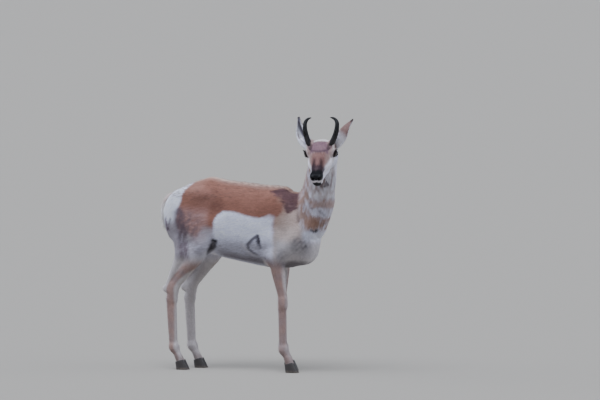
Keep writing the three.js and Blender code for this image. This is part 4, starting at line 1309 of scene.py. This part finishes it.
def hair_length(p, leaf):
    """The hair's length in millimetres."""
    x, _, z = p.T
    length = 14 + 5 * smooth(-240, -320, x) * smooth(600, 700, z) + 4 * smooth(560, 510, z)
    length = length + 3 * smooth(340, 400, x) * smooth(600, 700, z)
    on_leg = smooth(520, 440, z)
    length = length + (8.5 - 1.5 * smooth(300, 150, z) - length) * on_leg
    h = to_head(p)
    face = 7.5 - 2.5 * smooth(20, 90, h[:, 0]) - 1.6 * smooth(120, 165, h[:, 0])
    face = face + 5 * smooth(-15, -40, h[:, 0]) * smooth(0, 25, h[:, 2])
    length = length + (face - length) * head_share(h)
    ear = smooth(900, 1000, z)
    return length + ((6.5 * ear + 13 * (1 - ear)) - length) * leaf


def lie_of_hair(p, normals, leaf):
    """Unit directions along the surface in which the hair lies."""
    x, y, z = p.T
    h = to_head(p)
    way = np.tile((-1.0, 0.0, -0.32), (len(p), 1))
    way[:, 2] -= 1.6 * smooth(-250, -340, x)
    on_leg = smooth(600, 500, z) * ((x > 140) | (x < -90))
    way = lay(way, (-0.12, 0, -1), on_leg)
    way = lay(way, (-0.25, 0, -1), smooth(350, 400, x) * smooth(820, 700, z))
    way = lay(way, (-0.35, 0.12, -1), smooth(320, 360, x + 0.2 * (z - 760)) * smooth(640, 720, z))
    back_of_head = np.array([-1.0, 0, 0.12]) @ HEAD_AXES
    cheek = np.array([-1.0, 0, -0.55]) @ HEAD_AXES
    head_way = lay(np.tile(back_of_head, (len(p), 1)), cheek, smooth(0, -30, h[:, 2]))
    share = head_share(h)[:, None]
    way = way * (1 - share) + head_way * share
    ears = np.zeros(len(p), bool)
    for name in SIDES:
        at, off, axis, _ = ear_reading(p, name)
        same_side = (y > EYE_MIDPOINT[1]) == (name == "left")
        mine = (leaf > 0.3) & (z > 900) & (at > -0.1) & (off < 60) & same_side
        way[mine] = axis
        ears |= mine
    tail = (leaf > 0.3) & ~ears
    way[tail] = (-0.2, 0, -1)
    way = way - normals * np.sum(way * normals, axis=1)[:, None]
    return way / np.maximum(np.linalg.norm(way, axis=1), 1e-6)[:, None]


def triangles_of(data):
    corners = np.empty(len(data.loops), int)
    data.loops.foreach_get("vertex_index", corners)
    return corners.reshape(-1, 3)


def read_values(data, name):
    values = np.empty(len(data.vertices))
    data.attributes[name].data.foreach_get("value", values)
    return values


skin_corners = triangles_of(skin.data)
skin_normals = vertex_normals(skin.data)
skin_bare = read_values(skin.data, "bare")
skin_leaf = on_leaf(skin_points)


def scatter(count, density, draw):
    """Roots spread over the skin by density a vertex: points, normals and leaf shares."""
    a, b, c = (skin_points[skin_corners[:, k]] for k in range(3))
    area = np.linalg.norm(np.cross(b - a, c - a), axis=1) / 2
    weight = np.cumsum(area * density[skin_corners].mean(axis=1))
    place = (np.arange(count) + draw.random(count)) / count * weight[-1]
    face = np.minimum(np.searchsorted(weight, place), len(area) - 1)
    u, v = draw.random(count), draw.random(count)
    over = u + v > 1
    u[over], v[over] = 1 - u[over], 1 - v[over]
    shares = np.column_stack((1 - u - v, u, v))[:, :, None]
    corners = skin_corners[face]
    roots = (skin_points[corners] * shares).sum(axis=1)
    normals = (skin_normals[corners] * shares).sum(axis=1)
    normals /= np.linalg.norm(normals, axis=1)[:, None]
    leaf = (skin_leaf[corners] * shares[:, :, 0]).sum(axis=1)
    return roots, normals, leaf


def coat_density(p, bare, leaf):
    """How thickly the tufts stand at body points: more on the head and legs, none on bare hide."""
    z = p[:, 2]
    density = 1 + 0.9 * smooth(480, 380, z) + 1.6 * head_share(to_head(p))
    density = np.maximum(density, 2.4 * leaf)
    return density * smooth(0.6, 0.2, bare)


def turned(way, normals, angles):
    """Directions along the surface, turned about its normals."""
    aside = np.cross(normals, way)
    return way * np.cos(angles)[:, None] + aside * np.sin(angles)[:, None]


def mesh_from(name, points, triangles):
    data = bpy.data.meshes.new(name)
    data.vertices.add(len(points))
    data.vertices.foreach_set("co", points.ravel())
    data.loops.add(triangles.size)
    data.loops.foreach_set("vertex_index", triangles.ravel())
    data.polygons.add(len(triangles))
    data.polygons.foreach_set("loop_start", np.arange(0, triangles.size, 3))
    data.polygons.foreach_set("loop_total", np.full(len(triangles), 3))
    data.update(calc_edges=True)
    return data


TUFT_FACES = np.array([(0, 2, 1), (0, 3, 2), (2, 3, 1), (0, 1, 3)])
TUFT_TONES = np.array([0.80, 0.80, 0.98, 1.10])
LOCK_FACES = np.array(
    [
        (0, 2, 1),
        (0, 3, 5),
        (0, 5, 2),
        (2, 5, 4),
        (2, 4, 1),
        (0, 1, 4),
        (0, 4, 3),
        (3, 6, 5),
        (5, 6, 4),
        (3, 4, 6),
    ]
)
LOCK_TONES = np.array([0.78, 0.78, 0.85, 0.95, 0.95, 1.0, 1.12])


def tuft_points(roots, normals, way, length, width, height):
    """Four corners a tuft: two at its sunk root, one on its ridge, and its tip."""
    aside = np.cross(normals, way) * (width / 2)[:, None]
    under = roots - normals * ROOT_DEPTH
    ridge = roots + way * (0.42 * length)[:, None] + normals * (0.62 * height)[:, None]
    tip = roots + way * length[:, None] + normals * height[:, None]
    return np.stack((under - aside, under + aside, ridge, tip), axis=1)


def lock_points(roots, normals, way, length, width, height):
    """Seven corners a lock, which rises from its root and bends over to its tip."""
    aside = np.cross(normals, way) * (width / 2)[:, None]
    under = roots - normals * ROOT_DEPTH
    half_way = roots + way * (0.5 * length)[:, None] + normals * (0.75 * height)[:, None]
    tip = roots + way * length[:, None] + normals * (0.7 * height)[:, None]
    crest = normals * (0.3 * width)[:, None]
    return np.stack(
        (
            under - aside,
            under + aside,
            under + crest * 1.5,
            half_way - aside * 0.8,
            half_way + aside * 0.8,
            half_way + crest,
            tip,
        ),
        axis=1,
    )


def bake_map():
    """An unwrap of the skin's own shape, which places each tuft's colours for baking."""
    shape = skin.copy()
    shape.data = skin.data.copy()
    bpy.context.scene.collection.objects.link(shape)
    tool = shape.modifiers.new("thin", "DECIMATE")
    tool.ratio = 14_000 / len(shape.data.polygons)
    apply_modifiers(shape)
    for other in bpy.context.selected_objects:
        other.select_set(False)
    bpy.context.view_layer.objects.active = shape
    shape.select_set(True)
    bpy.ops.object.mode_set(mode="EDIT")
    bpy.ops.mesh.select_all(action="SELECT")
    bpy.ops.uv.smart_project(angle_limit=math.radians(62), island_margin=0.004)
    bpy.ops.object.mode_set(mode="OBJECT")
    data = shape.data
    corners = triangles_of(data)
    flat = np.empty(len(data.loops) * 2)
    data.uv_layers.active.data.foreach_get("uv", flat)
    tree = BVHTree.FromPolygons(points_of(data).tolist(), corners.tolist())
    places = points_of(data)[corners]
    bpy.data.objects.remove(shape)
    return tree, places, flat.reshape(-1, 3, 2)


bake_tree, bake_corners, bake_uv = bake_map()


def places_on_map(points):
    found = [bake_tree.find_nearest(p) for p in points.tolist()]
    face = np.array([hit[2] for hit in found])
    at = np.array([hit[0] for hit in found])
    a, b, c = (bake_corners[face, k] for k in range(3))
    ab, ac, ap = b - a, c - a, at - a
    d00, d01, d11 = (ab * ab).sum(1), (ab * ac).sum(1), (ac * ac).sum(1)
    d20, d21 = (ap * ab).sum(1), (ap * ac).sum(1)
    scale = np.maximum(d00 * d11 - d01 * d01, 1e-18)
    v, w = (d11 * d20 - d01 * d21) / scale, (d00 * d21 - d01 * d20) / scale
    shares = np.clip(np.column_stack((1 - v - w, v, w)), 0, 1)
    shares /= shares.sum(axis=1)[:, None]
    return (bake_uv[face] * shares[:, :, None]).sum(axis=1)


COAT_HAIR = hair_material("hair", 900.0, 0.5, 0.72)


def add_coat_piece(name, corners, faces, colours, tones, normals, uv):
    """One joined mesh of tufts: corners a tuft, each tuft's faces, colours and bake place."""
    count, size = corners.shape[:2]
    triangles = (faces[None] + (np.arange(count) * size)[:, None, None]).reshape(-1, 3)
    data = mesh_from(name, from_body(corners.reshape(-1, 3)), triangles)
    set_colours(data, np.clip(colours[:, None, :] * tones[None, :, None], 0.003, 0.93).reshape(-1, 3))
    shade_smooth(data)
    data.normals_split_custom_set_from_vertices(normals.reshape(-1, 3).tolist())
    spread = np.column_stack((np.linspace(-0.5, 0.5, size), np.linspace(-0.5, 0.5, size) ** 2 * 2))
    uv = (uv[:, None, :] + spread[None] * UV_PATCH).reshape(-1, 2)
    layer = data.uv_layers.new(name="OFBake")
    layer.data.foreach_set("uv", np.clip(uv, 0, 1)[triangles.ravel()].ravel())
    data.materials.append(COAT_HAIR)
    made = bpy.data.objects.new(name, data)
    bpy.context.scene.collection.objects.link(made)
    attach(made, "root")


def soft_normals(normals, way, size, lean):
    """Shading normals of a tuft's corners: the skin's, leaned a little to each side."""
    aside = np.cross(normals, way)
    signs = {4: (-1, 1, 0, 0), 7: (-1, 1, 0, -1, 1, 0, 0)}[size]
    made = normals[:, None, :] + np.array(signs)[None, :, None] * lean * aside[:, None, :]
    made[:, -1] += 0.25 * way
    return made / np.linalg.norm(made, axis=2)[:, :, None]


def region_of(p, leaf):
    """The piece that each tuft is part of."""
    x, y, z = p.T
    h = to_head(p)
    side = np.where(y > 0, "left", "right")
    region = np.where(x < -110, "haunch_", np.where(x < 225, "barrel_", "shoulder_")).astype("U20")
    region = np.char.add(region, side)
    neck_here = (x + 0.2 * (z - 760) > 330) & (z > 690)
    region[neck_here] = "neck"
    region[(z < 520) & (x > 130)] = "forelegs"
    region[(z < 520) & (x < -60)] = "hindlegs"
    region[head_share(h) > 0.5] = "head"
    region[leaf > 0.5] = "ears_and_tail"
    return region


def grow_coat():
    draw = np.random.default_rng(7)
    density = coat_density(skin_points, skin_bare, skin_leaf)
    roots, normals, leaf = scatter(TUFT_COUNT, density, draw)
    way = lie_of_hair(roots, normals, leaf)
    sway = 0.22 * ripple(roots, 55, 51) + draw.normal(0, 0.13, len(roots))
    way = turned(way, normals, sway)
    length = hair_length(roots, leaf) * draw.uniform(0.72, 1.2, len(roots))
    width = 0.8 + 0.13 * length
    depth = coat_depth(roots) * (1 - leaf) + 1.3 * leaf
    height = depth * draw.uniform(0.55, 1.0, len(roots))
    colours = coat_colour(roots + way * (0.4 * length)[:, None], normals)
    clumps = 0.07 * ripple(roots * (0.45, 1, 0.8), 8, 52)
    colours = colours * (1 + clumps + draw.normal(0, 0.08, len(roots)))[:, None]
    uv = places_on_map(from_body(roots))
    corners = tuft_points(roots, normals, way, length, width, height)
    shading = soft_normals(normals, way, 4, 0.45)
    region = region_of(roots, leaf)
    for name in sorted(set(region)):
        chosen = np.nonzero(region == name)[0]
        parts = -(-len(chosen) // TUFTS_A_PIECE)
        for k, part in enumerate(np.array_split(chosen, parts)):
            label = f"coat_{name}" if parts == 1 else f"coat_{name}_{k + 1}"
            add_coat_piece(
                label,
                corners[part],
                TUFT_FACES,
                colours[part],
                TUFT_TONES,
                shading[part],
                uv[part],
            )


grow_coat()


# Long hair
# A pale crest lies between the horns, a short dark mane runs down the nape, and a brush hangs
# from the tail. These longer locks grow out of the same hide as the short coat.
def grow_locks():
    draw = np.random.default_rng(29)
    h = to_head(skin_points)
    x, _, z = skin_points.T
    *_, middle_x, middle_y, turn = neck_section(z)
    front = np.radians(turn)
    dx, dy = x - middle_x, skin_points[:, 1] - middle_y
    behind = -(dx * np.cos(front) + dy * np.sin(front)) / np.maximum(np.hypot(dx, dy), 1)
    crest = smooth(-20, -30, h[:, 0]) * smooth(-62, -50, h[:, 0])
    crest = crest * smooth(42, 34, np.abs(h[:, 1])) * (h[:, 2] > 15)
    mane = smooth(0.90, 0.97, behind) * smooth(800, 860, z) * smooth(1060, 1030, z) * (skin_leaf < 0.2)
    brush = (skin_leaf > 0.5) * (x < -300) * smooth(600, 640, z)
    everything = []
    for name, near, count, length, height, lift in (
        ("crest", crest, 900, 12, 4, 0.25),
        ("mane", mane, 1500, 30, 8, 0.2),
        ("brush", brush, 1400, 34, 4, 0.0),
    ):
        roots, normals, leaf = scatter(count, near, draw)
        way = lie_of_hair(roots, normals, leaf)
        colours = coat_colour(roots, normals)
        if name == "mane":
            colours = lay(colours, (0.16, 0.10, 0.085), draw.uniform(0.2, 0.8, count))
        way = turned(way, normals, draw.normal(0, 0.2, count))
        lengths = length * draw.uniform(0.7, 1.15, count)
        heights = height * draw.uniform(0.6, 1.1, count) + lift * 0.4 * lengths
        corners = lock_points(roots, normals, way, lengths * (1 - 0.4 * lift), np.full(count, 3.0), heights)
        shading = soft_normals(normals, way, 7, 0.4)
        everything.append((corners, shading, colours * (1 + draw.normal(0, 0.08, count))[:, None], roots))
    corners, shading, colours, roots = (np.concatenate([part[k] for part in everything]) for k in range(4))
    uv = places_on_map(from_body(roots))
    add_coat_piece("long_hair", corners, LOCK_FACES, colours, LOCK_TONES, shading, uv)


grow_locks()


# Eyes
# Large dark globes, almost black, with a wide level pupil. The clear cornea gives them a wet
# gloss. They sit in the lids and the solid ones are replaced by finer, rounder ones.
def eye_material():
    material = bpy.data.materials.new("eye")
    paint = paint_of(material)
    nodes, links = material.node_tree.nodes, material.node_tree.links
    colour = nodes.new("ShaderNodeVertexColor")
    colour.layer_name = "coat"
    place = nodes.new("ShaderNodeTexCoord")
    fibres = nodes.new("ShaderNodeTexNoise")
    fibres.inputs["Scale"].default_value = 900.0
    links.new(place.outputs["Object"], fibres.inputs["Vector"])
    shade = nodes.new("ShaderNodeMapRange")
    shade.inputs["To Min"].default_value = 0.6
    shade.inputs["To Max"].default_value = 1.4
    links.new(fibres.outputs["Fac"], shade.inputs["Value"])
    tint = nodes.new("ShaderNodeVectorMath")
    tint.operation = "SCALE"
    links.new(colour.outputs["Color"], tint.inputs[0])
    links.new(shade.outputs["Result"], tint.inputs["Scale"])
    links.new(tint.outputs[0], paint.inputs["Base Color"])
    paint.inputs["Roughness"].default_value = 0.07
    paint.inputs["Specular IOR Level"].default_value = 0.3
    paint.inputs["Coat Weight"].default_value = 0.3
    paint.inputs["Coat Roughness"].default_value = 0.03
    return material


EYE_GLOSS = eye_material()
for name, side in SIDES.items():
    bm = bmesh.new()
    bmesh.ops.create_uvsphere(bm, u_segments=56, v_segments=36, radius=EYE_RADIUS / 1000)
    eye = object_from(bm, f"eyeball_{name}")
    unit = points_of(eye.data) * 1000 / EYE_RADIUS
    ahead, up, out = (unit @ HEAD_AXES.T @ eye_axes(side).T).T
    iris = smooth(0.64, 0.58, np.hypot(ahead, up)) * (out > 0)
    pupil = smooth(1.1, 0.9, np.hypot(ahead / 0.36, up / 0.22)) * (out > 0)
    tones = lay(np.tile((0.022, 0.013, 0.010), (len(unit), 1)), (0.032, 0.017, 0.009), iris)
    set_colours(eye.data, lay(tones, (0.006, 0.006, 0.007), pupil))
    set_points(eye.data, points_of(eye.data) + EYES[name])
    shade_smooth(eye.data)
    eye.data.materials.append(EYE_GLOSS)
    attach(eye, "root")
    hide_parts(f"eye_{name}")


# Lashes
# Long black lashes stand out over each eye like a small awning, and short ones line the lower
# lid. They are stiff hairs rooted in the edge of the lids.
def grow_lashes():
    draw = np.random.default_rng(23)
    everything = []
    for side in SIDES.values():
        axes = eye_axes(side)
        for upper, count in ((True, 150), (False, 60)):
            share = draw.uniform(-0.92, 0.92, count)
            reach = np.where(share > 0, LID_AHEAD, LID_BEHIND) * share
            height = LID_OVER if upper else -LID_UNDER
            rise = height * (1 - np.abs(share) ** 1.75) ** (1 / 1.75) * 1.06
            turn = np.radians(np.hypot(reach, rise))
            flat = np.maximum(np.hypot(reach, rise), 1e-6)
            out = np.column_stack(
                (np.sin(turn) * reach / flat, np.sin(turn) * rise / flat, np.cos(turn))
            )
            roots = out * (EYE_RADIUS + LID_EDGE - 0.6)
            lean = np.column_stack(
                (0.25 * share, np.full(count, 0.10 if upper else -0.5), np.full(count, 1.0))
            )
            way = lean + 0.35 * out + draw.normal(0, 0.07, (count, 3))
            way /= np.linalg.norm(way, axis=1)[:, None]
            normals = np.cross(np.cross(way, out), way)
            normals /= np.linalg.norm(normals, axis=1)[:, None]
            length = (13.0 if upper else 5.0) * draw.uniform(0.75, 1.1, count)
            width = np.full(count, 1.1)
            corners = lock_points(roots, normals, way, length, width, 0.15 * length)
            placed = from_head(corners.reshape(-1, 3) @ axes + (0, EYE_HALF_SPACING * side, 0))
            shading = soft_normals(normals, way, 7, 0.3).reshape(-1, 3) @ axes @ HEAD_AXES
            everything.append((placed.reshape(-1, 7, 3), shading.reshape(-1, 7, 3)))
    corners = np.concatenate([part[0] for part in everything])
    shading = np.concatenate([part[1] for part in everything])
    uv = places_on_map(from_body(corners[:, 0]))
    tones = np.tile((0.012, 0.010, 0.011), (len(corners), 1))
    add_coat_piece("lashes", corners, LOCK_FACES, tones, LOCK_TONES, shading, uv)


grow_lashes()


# Horns
# Each horn is a black sheath of horn over a bone core: a flat blade with a short prong in
# front and a round tip that hooks in. It is furrowed lengthwise and worn grey near its foot.
HORN_VOXEL = 0.0013


def fine_copy(node, name, voxel, rounds):
    """A rounder copy of a CAD node, with the flats of its facets smoothed out."""
    made = object_from(joined_copy([node]), name)
    remesh = made.modifiers.new("even", "REMESH")
    remesh.mode = "VOXEL"
    remesh.voxel_size = voxel
    apply_modifiers(made)
    bm = bmesh.new()
    bm.from_mesh(made.data)
    for _ in range(rounds):
        bmesh.ops.smooth_vert(
            bm,
            verts=bm.verts,
            factor=0.5,
            use_axis_x=True,
            use_axis_y=True,
            use_axis_z=True,
        )
    bm.to_mesh(made.data)
    bm.free()
    return made


def horn_material():
    material, _ = streaked_material("horn_sheath", 380.0, 1.3, 0.5)
    nodes, links = material.node_tree.nodes, material.node_tree.links
    place = nodes.new("ShaderNodeTexCoord")
    stretch = nodes.new("ShaderNodeMapping")
    stretch.inputs["Scale"].default_value = (1.0, 1.0, 0.08)
    furrows = nodes.new("ShaderNodeTexNoise")
    furrows.inputs["Scale"].default_value = 700.0
    furrows.inputs["Detail"].default_value = 4.0
    links.new(place.outputs["Object"], stretch.inputs["Vector"])
    links.new(stretch.outputs["Vector"], furrows.inputs["Vector"])
    add_bump(material, furrows.outputs["Fac"], 0.6, 0.0010)
    nodes["Principled BSDF"].inputs["Specular IOR Level"].default_value = 0.2
    return material


HORN_SHEATH = horn_material()
for name, side in SIDES.items():
    horn = fine_copy(f"horn_{name}", f"horn_sheath_{name}", HORN_VOXEL, 9)
    points = to_body(points_of(horn.data))
    foot = from_head([(-18, 51 * side, 40)])[0]
    up = points[:, 2] - foot[2]
    furrow = 0.42 * ripple(points * (1, 1, 0.10), 5.5, 61) + 0.3 * ripple(points * (1, 1, 0.3), 12, 62)
    knobs = 0.5 * ripple(points, 7, 63) * smooth(45, 5, up)
    points += vertex_normals(horn.data) * ((furrow * smooth(125, 90, up) + knobs) + 0.1)[:, None]
    set_points(horn.data, from_body(points))
    worn = smooth(62, 8, up) * np.clip(0.55 + 0.45 * ripple(points * (1, 1, 0.2), 8, 64), 0, 1)
    black = np.tile((0.004, 0.004, 0.0045), (len(points), 1))
    set_colours(horn.data, lay(black, (0.034, 0.029, 0.031), worn))
    shade_smooth(horn.data)
    horn.data.materials.clear()
    horn.data.materials.append(HORN_SHEATH)
    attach(horn, "root")
    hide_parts(f"horn_{name}")


# Hooves
# Every foot has two narrow pointed hooves, a black horny wall with fine growth rings that
# follow the top rim, on a flat sole.
HOOF_VOXEL = 0.0012


def hoof_material():
    material, _ = streaked_material("hoof_wall", 300.0, 0.9, 0.45)
    nodes, links = material.node_tree.nodes, material.node_tree.links
    place = nodes.new("ShaderNodeTexCoord")
    slope = nodes.new("ShaderNodeMapping")
    slope.inputs["Rotation"].default_value = (0, math.radians(-24), 0)
    rings = nodes.new("ShaderNodeTexWave")
    rings.bands_direction = "Z"
    rings.inputs["Scale"].default_value = 85.0
    rings.inputs["Distortion"].default_value = 1.2
    links.new(place.outputs["Object"], slope.inputs["Vector"])
    links.new(slope.outputs["Vector"], rings.inputs["Vector"])
    add_bump(material, rings.outputs["Fac"], 0.35, 0.0007)
    return material


HOOF_WALL = hoof_material()
for node in [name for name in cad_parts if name.startswith("hoof_")]:
    hoof = fine_copy(node, node.replace("hoof_", "hoof_wall_"), HOOF_VOXEL, 5)
    points = to_body(points_of(hoof.data))
    level = points[:, 2] < 2.5
    points[level, 2] = np.maximum(points[level, 2] * 0.5, 0)
    set_points(hoof.data, from_body(points))
    dust = smooth(16, 2, points[:, 2]) * np.clip(0.5 + 0.4 * ripple(points, 12, 71), 0, 1)
    black = np.tile((0.030, 0.025, 0.023), (len(points), 1))
    set_colours(hoof.data, lay(black, (0.13, 0.105, 0.085), dust))
    shade_smooth(hoof.data)
    hoof.data.materials.clear()
    hoof.data.materials.append(HOOF_WALL)
    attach(hoof, "root")
    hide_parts(node)


# Camera, floor and light
# A long lens far off to the buck's right and ahead, a little above level, as in the photograph,
# with a plain pale floor and soft daylight from above.
CAMERA_AZIMUTH = math.radians(22)
CAMERA_ELEVATION = math.radians(3)
CAMERA_DISTANCE = 40.0
SENSOR = 36.0
FRAME_WIDTH = 2.857  # width of the view at the animal
VIEW_CENTRE = (285.7, 809.5)  # body millimetres across the view and up it


def camera_axes(azimuth, elevation):
    across = np.array([math.cos(azimuth), math.sin(azimuth), 0])
    back = np.array(
        [
            math.sin(azimuth) * math.cos(elevation),
            -math.cos(azimuth) * math.cos(elevation),
            math.sin(elevation),
        ]
    )
    return across, np.cross(back, across), back


across, over, back = camera_axes(CAMERA_AZIMUTH, CAMERA_ELEVATION)
aim = from_body([across * VIEW_CENTRE[0] + over * VIEW_CENTRE[1]])[0]
lens = bpy.data.cameras.new("camera")
lens.sensor_width = SENSOR
lens.lens = SENSOR * CAMERA_DISTANCE / FRAME_WIDTH
lens.clip_end = 400
camera = bpy.data.objects.new("camera", lens)
place = Matrix(np.column_stack((across, over, back)).tolist()).to_4x4()
place.translation = Vector(aim + back * CAMERA_DISTANCE)
camera.matrix_world = place
bpy.context.scene.collection.objects.link(camera)
bpy.context.scene.camera = camera

FLOOR_SIZE = 220.0
bm = bmesh.new()
bmesh.ops.create_grid(bm, x_segments=1, y_segments=1, size=FLOOR_SIZE / 2)
floor = object_from(bm, "floor")
pale = bpy.data.materials.new("pale_floor")
pale.use_nodes = True
paint = pale.node_tree.nodes["Principled BSDF"]
paint.inputs["Base Color"].default_value = (0.33, 0.305, 0.265, 1)
paint.inputs["Roughness"].default_value = 0.9
floor.data.materials.append(pale)

world = bpy.data.worlds.new("daylight")
world.use_nodes = True
world.node_tree.nodes["Background"].inputs["Color"].default_value = (0.76, 0.84, 1.0, 1)
world.node_tree.nodes["Background"].inputs["Strength"].default_value = 0.36
bpy.context.scene.world = world


def soft_sun(name, azimuth, elevation, strength, spread):
    """Light that comes from azimuth, counted as the camera's is, and elevation."""
    data = bpy.data.lights.new(name, "SUN")
    data.energy = strength
    data.angle = math.radians(spread)
    data.color = (0.81, 0.87, 1.0)
    made = bpy.data.objects.new(name, data)
    *_, towards = camera_axes(math.radians(azimuth), math.radians(elevation))
    made.rotation_euler = Vector(towards).to_track_quat("Z", "Y").to_euler()
    bpy.context.scene.collection.objects.link(made)


soft_sun("key", 0, 62, 4.1, 45)
soft_sun("right_side", 95, 28, 1.6, 60)
soft_sun("left_side", -80, 28, 1.6, 60)
